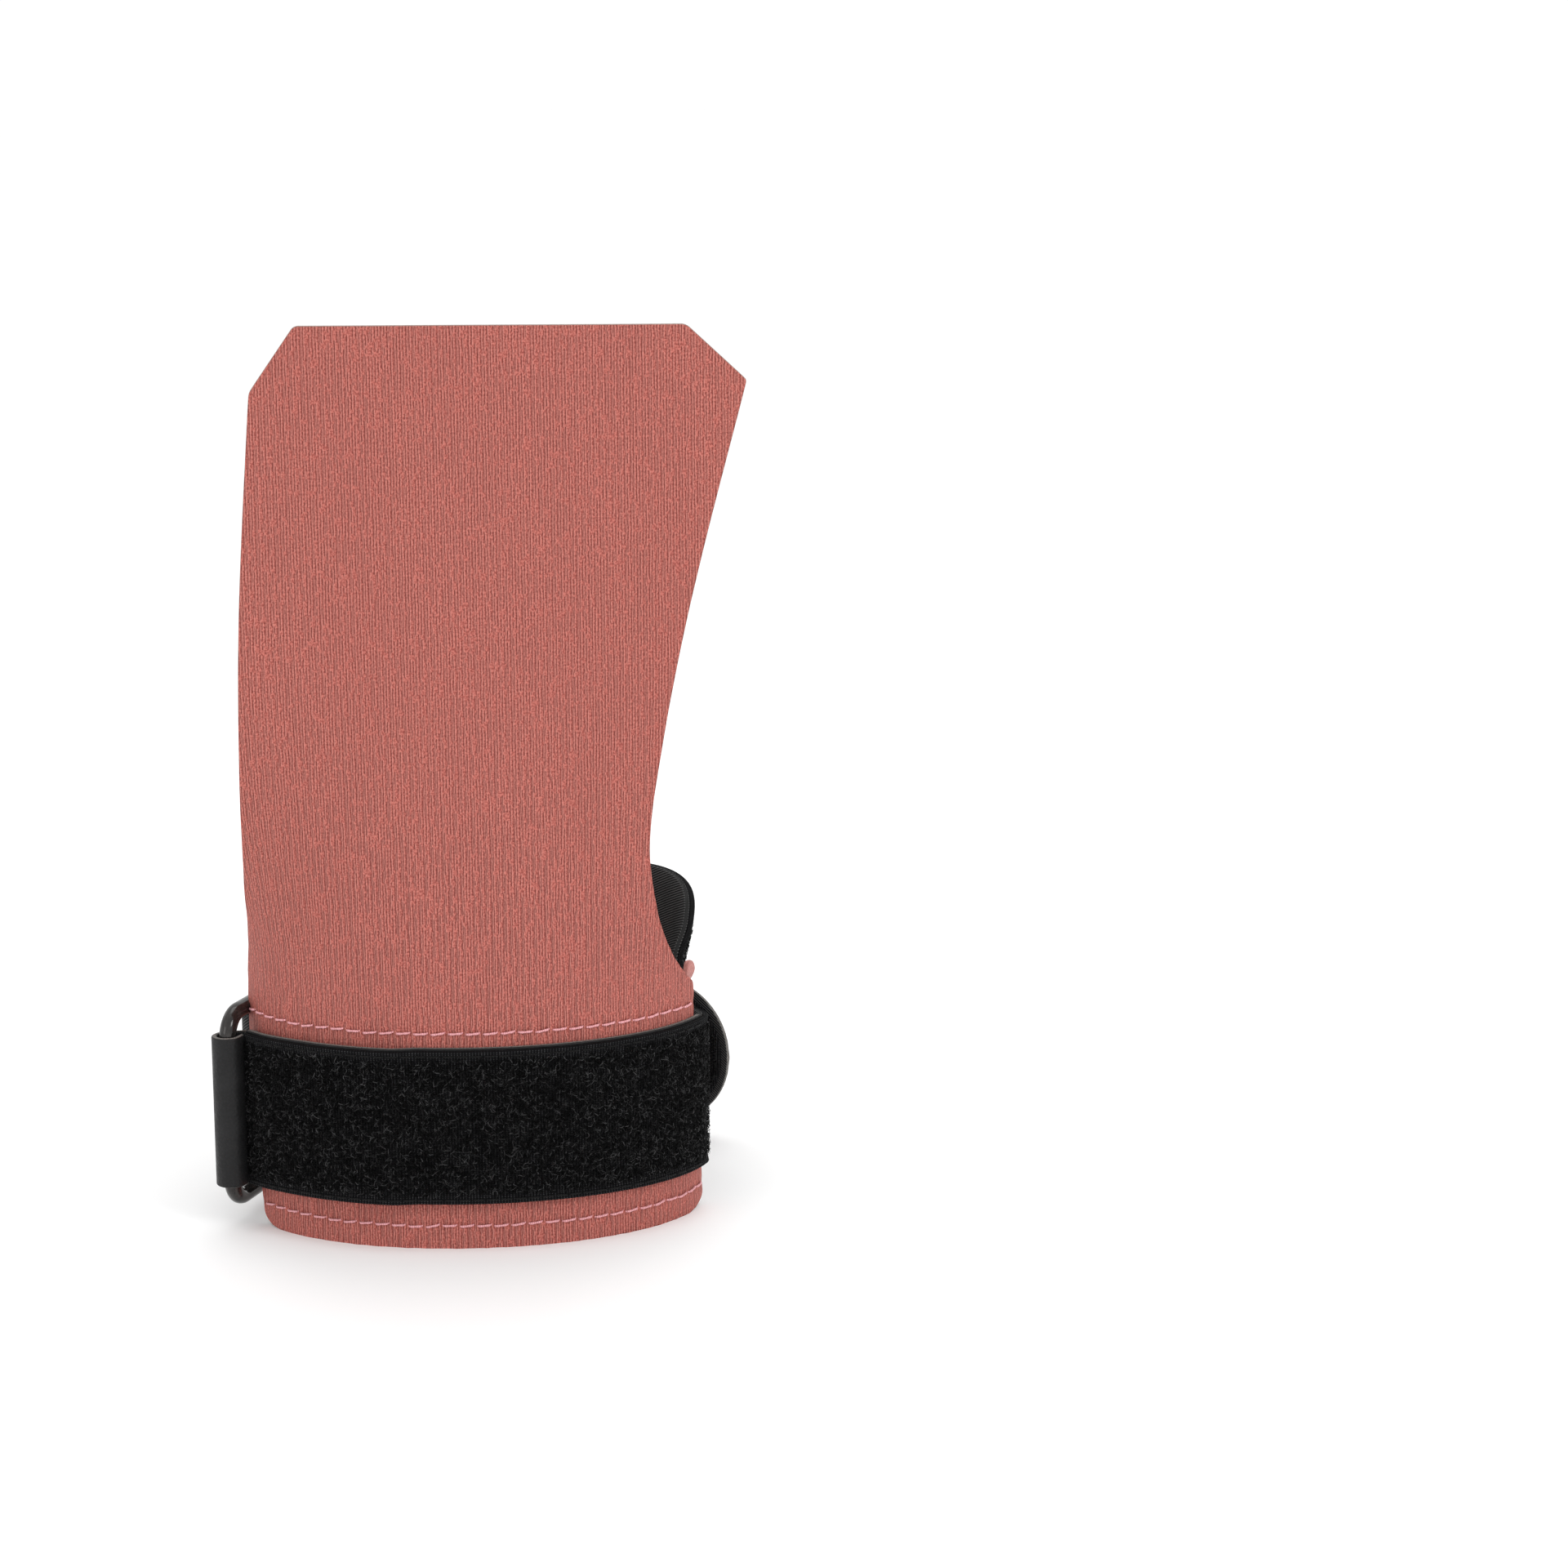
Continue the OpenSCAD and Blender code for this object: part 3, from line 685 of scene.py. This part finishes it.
def fibre_black(name, dark, pale, shine=0.5, pale_from=0.52):
    """Nylon fibre: each fibre has its own tone, and only some are pale; on the loop pile the pale fibres are
    painted highlights standing in for glints on the loops.
    """
    s = Shade(name, shine, Specular_IOR_Level=0.10)
    own = s.noise(s.place((0.61, 0.02), (3, 1, 0)), detail=0)
    s.colour(s.mix(s.span(own, pale_from, pale_from + 0.22), dark, pale))
    s.bump(s.times(s.noise(s.place((0.5, 3.0)), detail=1), 0.01))
    return s.material


def webbing(turn=-0.95):
    """Fine webbing: slanting ribs about half a millimetre apart."""
    s = Shade("webbing_ribbed", 0.6, Specular_IOR_Level=0.15)
    ribs = s.wave(s.place((1, 1), turn=turn), 0.63, 0.1, "X")
    cross = s.wave(s.place((1, 1), turn=turn), 0.9, 0.3, "Y")
    cloud = s.noise(s.place((0.2, 0.2)), detail=3)
    weave = s.times(ribs, s.math("MULTIPLY_ADD", cross, 0.12, 0.88))
    tone = s.mix(s.span(weave, 0.2, 0.95), (0.002, 0.002, 0.002), (0.072, 0.072, 0.072))
    s.colour(s.mix(s.times(s.span(cloud, 0.4, 0.7), 0.3), tone, (0.012, 0.012, 0.012)))
    s.bump(s.times(weave, 0.16))
    return s.material


def thread(name, dark, pale, gloss):
    """Twisted sewing thread."""
    s = Shade(name, 0.5, Specular_IOR_Level=gloss)
    ply = s.wave(s.place((1, 1), turn=0.6), 0.5, 0.5, "Y")
    fuzz = s.noise(s.place((2, 3)), detail=2)
    s.colour(s.mix(s.span(ply, 0.1, 0.8), dark, pale))
    s.bump(s.math("ADD", s.times(ply, 0.04), s.times(fuzz, 0.03)))
    return s.material


def black_nickel():
    """Polished black nickel with faint rubbing."""
    s = Shade("ring_black_nickel", 0.14, Metallic=0.35, Specular_IOR_Level=0.5)
    rub = s.noise(s.place((0.35, 0.9)), detail=4, rough=0.6)
    s.colour(s.mix(s.span(rub, 0.4, 0.75), (0.020, 0.018, 0.017), (0.055, 0.050, 0.047)))
    s.rough(s.span(rub, 0.3, 0.75, 0.07, 0.18))
    s.bump(s.times(rub, 0.004))
    return s.material


CORAL, SUEDE, EDGE = coral_sheet(), suede_back(), cut_edge()
LINING, FOAM = lining_cloth(), foam_cut()
LEATHER = leather((0.013, 0.013, 0.0135))
LEATHER_EDGE = leather_edge()
TAPE = tape_ground()
# The pale loop-pile fibres are painted highlights, standing in for glints on the loops.
PILE = fibre_black("loop_pile_nylon", (0.0015, 0.0015, 0.0015), (0.085, 0.085, 0.086), 0.5, 0.53)
HOOKS = fibre_black("hook_nylon", (0.006, 0.006, 0.006), (0.02, 0.02, 0.02), 0.35)
WEBBING = webbing()
PINK = thread("thread_pink", (0.52, 0.20, 0.21), (0.90, 0.46, 0.49), 0.4)
BLACK = thread("thread_black", (0.002, 0.002, 0.002), (0.014, 0.014, 0.014), 0.1)
NICKEL = black_nickel()
SHEET_LOOKS = [CORAL, EDGE, SUEDE]
STRAP_LOOKS = [LEATHER, LEATHER_EDGE, LEATHER]


def all_round(material):
    """The three slots of a skin that has one material on its front, edge and back."""
    return [material] * 3


# ---------------------------------------------------------------- the palm sheet
def seam_points(z):
    """Angles of evenly spaced stitch holes along the cuff at height z."""
    first = math.degrees(math.asin(float(sheet_left(np.array(z))) / CUFF_HALF_W)) + 1.0
    last = math.degrees(math.asin(float(sheet_right(np.array(z))) / CUFF_HALF_W)) - 1.0
    t = np.linspace(first, last, 1200)
    run = run_along(cuff_plan(t, 0))
    count = int(run[-1] / STITCH)
    s = np.linspace(0.4, run[-1] - 0.4, count + 1)
    return np.interp(s, run, t)


def sheet_rows():
    """Every point of the sheet's face, with its flat place in millimetres."""
    step = 0.5
    z = np.unique(np.concatenate([
        np.linspace(0, 3, 9), np.arange(3, 173, step), np.arange(173, SHEET_TOP - SHEET_ROUND, 0.35),
        np.linspace(SHEET_TOP - SHEET_ROUND, SHEET_TOP, 5),
    ]))
    cols = 201
    left, right = sheet_left(z), sheet_right(z)
    dense = np.linspace(0, 1, 500)
    x_all, u_all = np.zeros((len(z), cols)), np.zeros((len(z), cols))
    for i, height in enumerate(z):
        xs = lerp(left[i], right[i], dense)
        ys = face_y(xs, height)
        run = np.concatenate([[0], np.cumsum(np.hypot(np.diff(xs), np.diff(ys)))])
        spot = np.linspace(0, run[-1], cols)
        x_all[i] = np.interp(spot, run, xs)
        u_all[i] = spot - np.interp(0, xs, run)
    return x_all, np.repeat(z[:, None], cols, 1), u_all


def sheet_grid():
    """The sheet's face and back: fine ripples, a faint sway, and a pull towards each seam."""
    x, z, u = sheet_rows()
    y = face_y(x, z)
    slope = (face_y(x + 0.1, z) - face_y(x - 0.1, z)) / 0.2
    normal = unit(np.stack([slope, -np.ones_like(slope), np.zeros_like(slope)], -1))
    soft = smooth(50, 75, z) * (1 - smooth(SHEET_TOP - 6, SHEET_TOP, z) * 0.5)
    ripple = 0.10 * noise(u, z, 1.6, 14, 11) + 0.06 * noise(u, z, 0.9, 6, 12)
    sway = soft * (0.45 * noise(u, z, 24, 40, 13) + 0.2 * noise(u, z, 9, 30, 14))
    pull = np.zeros_like(x)
    for height in SEAMS:
        near = np.exp(-(((z - height) / 0.9) ** 2))
        pucker = 0.5 + 0.5 * np.cos(2 * math.pi * u / STITCH)
        pull -= near * (0.08 + 0.10 * pucker)
    face = np.stack([x, y, z], -1) + normal * (ripple + sway + pull)[..., None]
    back = np.stack([x, y, z], -1) + normal * (sway - SHEET_T)[..., None]
    return face, back, np.stack([u, z], -1), z[:, 0]


face, back, flat, heights = sheet_grid()
cut = int(np.searchsorted(heights, SPLIT))
below, above = slice(None, cut + 1), slice(cut, None)
lower_sheet = skin("sheet_cuff_and_palm", face[below], back[below], flat[below], SHEET_LOOKS)
upper_sheet = skin("sheet_finger_end", face[above], back[above], flat[above], SHEET_LOOKS)


# ---------------------------------------------------------------- the cuff's padding
pad_out = -SHEET_T - GAP
foam = strip("cuff_foam", cuff_route(FOAM_LEFT, FOAM_RIGHT, 90, 0, CUFF_TOP / 2), (CUFF_TOP - 4) / 2,
             pad_out - FOAM_T, pad_out, all_round(FOAM), cols=17, edge_r=0.6)


def lining_shape():
    """The lining: a soft quilt whose edges are drawn in, with a round tab at the thumb corner."""
    rows, cols = 46, 230
    share = np.concatenate([np.linspace(0, 0.93, cols - 60), np.linspace(0.93, 1, 61)[1:]])
    s, r = np.meshgrid(share, np.linspace(0, 1, rows))
    end = (1 - s) * LINING_RUN
    start = s * LINING_RUN
    tab = smooth(0.938, 0.968, s)
    top = CUFF_TOP - 0.5 + TAB_RISE * tab - corner(start, 2.0)
    top = top - corner(end, 2.8) * tab - corner(end, 2.0) * (1 - tab)
    low = 0.6 + corner(start, 3.0) + corner(end, 3.0)
    z = lerp(low, top, r)
    left = np.degrees(np.arcsin(sheet_left(np.minimum(z, 48)) / CUFF_HALF_W)) + 0.5
    right = np.degrees(np.arcsin(sheet_right(np.minimum(z, 48)) / CUFF_HALF_W)) - 0.4
    t = lerp(left, right + 2.4 * smooth(46, 52, z), s)
    rise = (z - CUFF_TOP / 2) / (CUFF_TOP / 2 + 0.5)
    swell = (1.0 - np.clip(np.abs(rise), 0, 1) ** 6) * smooth(0, 5, start) * smooth(0, 5, end)
    quilt = -0.5 * swell + 0.12 * noise(t, z, 5, 7, 21) + 0.05 * noise(t, z, 1.2, 1.4, 22)
    for height in SEAMS:
        quilt = quilt + 0.5 * np.exp(-(((z - height) / 1.0) ** 2)) * swell
    flare = 2.6 * smooth(46.5, 53, z)
    outer = pad_out - FOAM_T - GAP + 0.8 * (1 - swell) + flare
    inner = outer - LINING_T + quilt - 0.8 * (1 - swell) * (1 - smooth(47, 49, z))
    return raised(cuff_plan(t, outer), z), raised(cuff_plan(t, inner), z), np.stack([t * 0.72, z], -1)


outer, inner, uv = lining_shape()
lining = skin("wrist_lining_quilt", outer, inner, uv, all_round(LINING), 0.2)


# ---------------------------------------------------------------- stitches
def stitch_row(name, ends, outs, radius, material, lift=0.15, dip=0.5, fill=0.86, slant=0.0):
    """Separate stitches between neighbouring holes: each rises out of one and dips into the next."""
    a, b = ends[:-1], ends[1:]
    n = unit(outs[:-1] + outs[1:])
    run = unit(b - a)
    side = unit(np.cross(n, run))
    s = np.linspace(0, 1, 9)
    mid = lerp(a[:, None], b[:, None], (0.5 + (s - 0.5) * fill)[None, :, None])
    arch = lift + radius - (dip + lift) * np.abs(2 * s - 1) ** 6
    centre = mid + n[:, None] * arch[None, :, None] + side[:, None] * (slant * (s - 0.5))[None, :, None]
    u = np.broadcast_to(n[:, None], centre.shape)
    v = np.broadcast_to(side[:, None], centre.shape)
    return tubes(name, centre, u, v, np.full(centre.shape[:2], radius), 10, material, 0.16, 7.0)


seams = []
for label, height in zip(("upper", "lower"), SEAMS):
    t = seam_points(height)
    rng = np.random.default_rng(31 + int(height))
    z = height + rng.normal(0, 0.1, len(t))
    ends = raised(cuff_plan(t, -0.05), z)
    outs = raised(cuff_normal(t), 0)
    seams.append(stitch_row(f"cuff_seam_{label}_stitches", ends, outs, 0.23, PINK, slant=0.3))
    inside = ends - outs * (SHEET_T + FOAM_T + LINING_T + 0.15)
    seams.append(stitch_row(f"lining_seam_{label}_stitches", inside, -outs, 0.24, PINK, slant=0.2))


# ---------------------------------------------------------------- the strap on the front
base_route = cuff_route(STRAP_LEFT, STRAP_RIGHT, 220, base_off, strap_z)
base = strip("strap_base_leather", base_route, STRAP_W / 2, 0, LEATHER_T, STRAP_LOOKS, cols=17,
             edge_r=0.3, ends=False)


def keeper_route():
    """The keeper's line in plan: under the base, round the ring's front bar, and back on the panel."""
    leg_off = LEATHER_T * 1.5 + 2 * GAP
    outer_leg = cuff_plan(np.array([STRAP_LEFT + 1.0, STRAP_LEFT - 1.0]), np.array([leg_off, leg_off]))
    inner_leg = cuff_plan(np.linspace(STRAP_LEFT - 2, LEG_END, 40), LEATHER_T / 2 + GAP)
    aim = unit(RING_FRONT - outer_leg[1])
    start = math.atan2(-aim[0], aim[1]) + math.pi
    angle = np.linspace(start + 0.25, start - math.pi - 0.25, 40)
    arc = RING_FRONT + KEEPER_R * np.stack([np.cos(angle), np.sin(angle)], -1)
    path = np.concatenate([outer_leg, arc, inner_leg])
    run = run_along(path)
    s = np.linspace(0, run[-1], 200)
    xy = spread(s, run, path)
    for _ in range(6):
        xy[1:-1] = (xy[:-2] + 2 * xy[1:-1] + xy[2:]) / 4
    return xy


keeper_xy = keeper_route()
keeper_t = np.degrees(np.arcsin(np.clip(keeper_xy[:, 0] / CUFF_HALF_W, -1, 1)))
keeper_line = plan_route(keeper_xy, strap_z(np.where(keeper_xy[:, 0] > -46, keeper_t, -90)), -1)
keeper = strip("keeper_tab_leather", keeper_line, (STRAP_W - 1) / 2, -LEATHER_T / 2, LEATHER_T / 2,
               STRAP_LOOKS, cols=17, edge_r=0.3)


# ---------------------------------------------------------------- loop tape and its pile
def tape(name, route):
    """Ground of the tape: ribbed woven edges beside a slightly sunken field."""

    def ribs(s, a):
        edge = smooth(TAPE_HALF - SELVEDGE - 0.2, TAPE_HALF - SELVEDGE + 0.2, np.abs(a))
        rib = 0.5 - 0.5 * np.cos(2 * math.pi * s / RIB)
        return edge * (0.10 * rib + 0.05) * smooth(0, 0.3, TAPE_HALF - np.abs(a)) - (1 - edge) * 0.25

    return strip(name, route, TAPE_HALF, 0, TAPE_GROUND, all_round(TAPE), cols=27, edge_r=0.25, ripple=ribs,
                 ends=False)


def resample(route, step):
    count = max(int(route.length[-1] / step) + 1, 3)
    c, o, a = route.at(np.linspace(0, route.length[-1], count))
    return Route(c, o, a)


def pile(name, route, count, seed):
    """Looped fibres standing in a random mat."""
    rng = np.random.default_rng(seed)
    field = TAPE_HALF - SELVEDGE
    s = rng.uniform(0.4, route.length[-1] - 0.4, count)
    a = rng.uniform(-field, field, count)
    c, out, across = route.at(s)
    along = unit(np.cross(across, out))
    heading = rng.uniform(0, 2 * math.pi, count)
    reach = rng.uniform(0.5, 1.7, count)
    go = np.cos(heading)[:, None] * along + np.sin(heading)[:, None] * across
    side = np.cross(out, go)
    root = c + across * a[:, None] + out * PILE_FOOT
    k = np.linspace(0, 1, 5)
    rise = rng.uniform(0.35, 1.0, count) * PILE_TALL
    bend = rng.normal(0, 0.22, count) * reach
    lean = rng.normal(0, 0.25, count) * reach
    arch = 4 * k * (1 - k)
    curl = bend[:, None] * np.sin(2 * math.pi * k) + lean[:, None] * arch
    place = (
        root[:, None]
        + go[:, None] * (reach[:, None] * (k - 0.5))[..., None]
        + out[:, None] * (rise[:, None] * arch)[..., None]
        + side[:, None] * curl[..., None]
    )
    u = np.broadcast_to(side[:, None], place.shape)
    v = np.broadcast_to(out[:, None], place.shape)
    thick = np.broadcast_to(rng.uniform(0.045, 0.08, count)[:, None], place.shape[:2])
    return tubes(name, place, u, v, thick, 3, PILE)


rear = rear_route()


def tape_route():
    """The tape's foot, all the way from the keeper round the cuff and the back of the wrist."""
    front = cuff_route(STRAP_LEFT + 0.6, STRAP_RIGHT, 600, lambda t: base_off(t) + LEATHER_T + GAP, strap_z)
    back = rear.part((REAR_STEPS > 0.02) & (REAR_STEPS < 2.7))
    foot = back.centre + back.out * (LEATHER_T / 2 + GAP)
    return front.joined(Route(foot, back.out, back.across)), front.length[-1]


tape_line, front_length = tape_route()
tape_line = resample(tape_line, 0.15)
front_line = tape_line.part(tape_line.length <= front_length + 0.1)
rear_tape_line = tape_line.part(tape_line.length >= front_length)
front_tape = tape("loop_tape_front_ground", front_line)
rear_tape = tape("loop_tape_rear_ground", rear_tape_line)
fibres = PILE_COUNT
front_pile, rear_pile = [
    [pile(f"loop_pile_{label}_{k}", line, fibres, seed + k) for k in range(3)]
    for label, line, seed in (("front", front_line, 51), ("rear", rear_tape_line, 61))
]


# ---------------------------------------------------------------- rear webbing and its fold
def webbing_route():
    """The rear webbing, then its half turn round the ring's rear bar."""
    start = math.atan2(-RING_SIDE[1], -RING_SIDE[0])
    angle = start - np.linspace(0, math.pi, 40)[1:]
    away = np.stack([np.cos(angle), np.sin(angle), np.zeros_like(angle)], -1)
    fold = Route(raised(RING_REAR, RING_MID) + FOLD_R * away, -away, np.tile([0.0, 0, 1], (len(away), 1)))
    return resample(rear.joined(fold), 0.6)


web_line = webbing_route()
rear_web = strip("rear_webbing_strap", web_line, STRAP_W / 2 - 0.1, -LEATHER_T / 2, LEATHER_T / 2,
                 all_round(WEBBING), cols=21, edge_r=0.3, ends=False)


# ---------------------------------------------------------------- the closing flap
flap_line = flap_route()
total = flap_line.length[-1]


def tip_half(route, trim):
    """Half the flap's width along it, less a trim: straight, then round at the tip."""
    reach = np.linalg.norm(route.centre[:, :2] - flap_line.centre[-1, :2], axis=1) - trim
    r = FLAP_TIP_R - trim
    d = np.clip(r - reach, 0, r)
    return np.sqrt(np.maximum(r * r - d * d, 0.3))


flap_line = resample(flap_line, 0.5)
flap = strip("closing_flap_leather", flap_line, tip_half(flap_line, 0.0), -LEATHER_T / 2, LEATHER_T / 2,
             [LEATHER, LEATHER_EDGE, WEBBING], cols=21, edge_r=0.3, ends=False)
hook_keep = (flap_line.length > 0.52 * total) & (flap_line.length < total - 1.5)
hook_line = flap_line.part(hook_keep)
hook_half = tip_half(hook_line, 1.4)
patch_top = -LEATHER_T / 2 - GAP
patch = strip("hook_patch_ground", hook_line, hook_half, patch_top - PATCH_T, patch_top, all_round(TAPE),
              cols=17, edge_r=0.2)


def hook_field():
    """Rows of small hooks on the inner side of the flap."""
    rng = np.random.default_rng(71)
    s = np.arange(1.0, hook_line.length[-1] - 0.8, HOOK_PITCH)
    a = np.arange(-FLAP_TIP_R + 2.2, FLAP_TIP_R - 2.2, HOOK_ROWS)
    ss, aa = np.meshgrid(s, a, indexing="ij")
    aa = aa + 0.3 * (np.arange(len(s))[:, None] % 2)
    limit = np.interp(ss, hook_line.length, hook_half) - 0.9
    ok = np.abs(aa) < limit
    ss, aa = ss[ok], aa[ok]
    c, out, across = hook_line.at(ss)
    along = unit(np.cross(across, out))
    root = c + across * aa[:, None] - out * (LEATHER_T / 2 + GAP + 0.4)
    flip = np.where(rng.random(len(ss)) < 0.5, -1.0, 1.0)[:, None] * along
    shape = np.array([(0, 0), (0.02, 0.35), (0.10, 0.6), (0.28, 0.72), (0.42, 0.6), (0.44, 0.42)])
    place = root[:, None] + flip[:, None] * shape[None, :, :1] - out[:, None] * shape[None, :, 1:]
    u = np.broadcast_to(across[:, None], place.shape)
    d = unit(np.gradient(place, axis=1))
    v = np.cross(d, u)
    thick = np.broadcast_to(np.linspace(0.11, 0.07, len(shape))[None], place.shape[:2])
    return tubes("hook_patch_hooks", place, u, v, thick, 4, HOOKS)


hooks = hook_field()


def outline_stitches(name, lift, sign, pitch=2.6):
    """A row of stitches round the hook patch's edge, on the flap's outer (1) or inner (-1) side."""
    route = hook_line.part(hook_line.length < hook_line.length[-1] - 0.8)
    half = tip_half(route, PATCH_SEAM_IN)
    top = route.centre + route.across * half[:, None]
    foot = route.centre - route.across * half[:, None]
    loop = np.concatenate([top, foot[::-1], top[:1]])
    loop_out = np.concatenate([route.out, route.out[::-1], route.out[:1]]) * sign
    run = run_along(loop)
    s = np.linspace(0, run[-1], int(run[-1] / pitch) + 1)
    n = unit(spread(s, run, loop_out))
    return stitch_row(name, spread(s, run, loop) + n * lift, n, 0.17, BLACK, 0.05, 0.3)


flap_stitches = [
    outline_stitches("flap_seam_outer", LEATHER_T / 2, 1),
    outline_stitches("flap_seam_inner", LEATHER_T / 2 + GAP + PATCH_T, -1),
]


def edge_stitches(name, offset, pitch=2.8):
    """A straight row of stitches along the front tape."""
    c, out, across = front_line.at(np.arange(2.0, front_line.length[-1] - 2.0, pitch))
    return stitch_row(name, c + across * offset + out * TAPE_STITCH_Z, out, 0.17, BLACK, 0.05, 0.3)


tape_stitches = [
    edge_stitches(f"tape_seam_{label}_stitches", side * (STRAP_W / 2 - 1.3))
    for label, side in (("upper", 1), ("lower", -1))
]


# ---------------------------------------------------------------- the ring
def ring_piece():
    """A round wire swept once round a rectangle with round corners."""
    half = RING_H / 2 - WIRE_R
    corners = [(RING_R, half - RING_R, 90), (RING_R, RING_R - half, 180),
               (RING_PITCH - RING_R, RING_R - half, 270), (RING_PITCH - RING_R, half - RING_R, 0)]
    path = []
    for cx, cz, start in corners:
        angle = np.radians(start + np.linspace(0, 90, 17))
        path.append(np.stack([cx + RING_R * np.cos(angle), cz + RING_R * np.sin(angle)], -1))
    closed = np.concatenate(path + [path[0][:1]])
    run = run_along(closed)
    s = np.linspace(0, run[-1], 240, endpoint=False)
    xz = spread(s, run, closed)
    d = unit(np.roll(xz, -1, 0) - np.roll(xz, 1, 0))
    n = np.stack([d[:, 1], -d[:, 0]], -1)
    to_world = lambda v: np.stack([v[:, 0] * RING_DIR[0], v[:, 0] * RING_DIR[1], v[:, 1]], -1)
    centre = to_world(xz) + raised(RING_FRONT, RING_MID)
    side = raised(RING_SIDE, 0)
    sides = 28
    k = np.linspace(0, 2 * math.pi, sides, endpoint=False)
    ring = (centre[:, None] + WIRE_R * np.cos(k)[None, :, None] * to_world(n)[:, None]
            + WIRE_R * np.sin(k)[None, :, None] * side)
    m = len(centre)
    i, j = np.meshgrid(np.arange(m), np.arange(sides), indexing="ij")
    a, b = i * sides + j, i * sides + (j + 1) % sides
    c, e = ((i + 1) % m) * sides + (j + 1) % sides, ((i + 1) % m) * sides + j
    faces = np.stack([a, b, c, e], -1).reshape(-1, 4)
    uv = np.stack([np.repeat(s, sides), np.tile(k * WIRE_R, m)], -1)
    return make_mesh("buckle_ring_wire", ring.reshape(-1, 3), faces, [NICKEL], uv)


ring = ring_piece()
weld(ring, 180)


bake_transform(lower_sheet)
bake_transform(upper_sheet)
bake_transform(flap)
fixed = [foam, lining, base, keeper, front_tape, rear_tape, rear_web]
for piece in fixed + seams + tape_stitches + front_pile + rear_pile:
    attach(piece, "cuff")
for piece in [patch, hooks] + flap_stitches:
    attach(piece, "flap")
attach(ring, "ring")

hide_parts("cuff_panel", "palm_panel")
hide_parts("finger_panel")
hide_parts("wrist_foam")
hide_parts("wrist_lining", "lining_tab")
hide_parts("cuff_seam_upper")
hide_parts("cuff_seam_lower")
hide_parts("strap_base")
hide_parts("keeper_tab")
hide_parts("loop_tape_front")
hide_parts("tape_seam_upper")
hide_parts("tape_seam_lower")
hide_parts("buckle_ring")
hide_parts("rear_webbing", "ring_fold")
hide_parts("loop_tape_rear")
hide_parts("closing_flap")
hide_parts("hook_patch")
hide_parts("flap_seam")


# ---------------------------------------------------------------- studio
FLOOR_HALF = 20000
# Each lamp's name, its place and aim in metres, its width and its power
LAMPS = (
    ("key", (0.75, -0.75, 0.75), (0, 0, 0.09), 0.35, 3.0),
    ("fill", (-0.9, -0.8, 0.5), (0, 0, 0.09), 0.5, 1.2),
    ("top", (0.0, 0.25, 1.1), (0, 0, 0.05), 0.6, 2.0),
)


def studio():
    """A white floor, a white sky and three soft boxes."""
    scene = bpy.context.scene
    scene.view_settings.view_transform = "Standard"
    world = bpy.data.worlds.new("studio")
    world.use_nodes = True
    sky = world.node_tree.nodes["Background"]
    sky.inputs["Color"].default_value = (1, 1, 1, 1)
    sky.inputs["Strength"].default_value = 1.04
    scene.world = world
    corners = np.array([(-1, -1, 0), (1, -1, 0), (1, 1, 0), (-1, 1, 0)]) * FLOOR_HALF
    floor = make_mesh("floor", corners, [(0, 1, 2, 3)], [])
    paper = bpy.data.materials.new("floor_paper")
    paper.use_nodes = True
    bsdf = paper.node_tree.nodes["Principled BSDF"]
    bsdf.inputs["Base Color"].default_value = (0.97, 0.97, 0.97, 1)
    bsdf.inputs["Roughness"].default_value = 0.9
    floor.data.materials.append(paper)
    for name, place, aim, width, power in LAMPS:
        lamp = bpy.data.lights.new(name, "AREA")
        lamp.size = width
        lamp.energy = power
        holder = bpy.data.objects.new(name, lamp)
        scene.collection.objects.link(holder)
        point_at(holder, place, aim)


def point_at(holder, place, aim):
    holder.location = place
    holder.rotation_euler = (Vector(aim) - Vector(place)).to_track_quat("-Z", "Y").to_euler()


def camera():
    """A long lens a little above the grip, with the grip left of the picture's middle."""
    turn, tilt, away = math.radians(-4.5), math.radians(12), 0.7
    aim_side, aim_height = 0.065, 0.091
    right = np.array([math.cos(turn), math.sin(turn), 0])
    ahead = np.array([-math.sin(turn) * math.cos(tilt), math.cos(turn) * math.cos(tilt), -math.sin(tilt)])
    aim = right * aim_side + np.array([0, 0, aim_height])
    lens = bpy.data.cameras.new("camera")
    lens.sensor_width = 36
    lens.lens = 77.2
    holder = bpy.data.objects.new("camera", lens)
    bpy.context.scene.collection.objects.link(holder)
    point_at(holder, tuple(aim - away * ahead), tuple(aim))
    bpy.context.scene.camera = holder


studio()
camera()
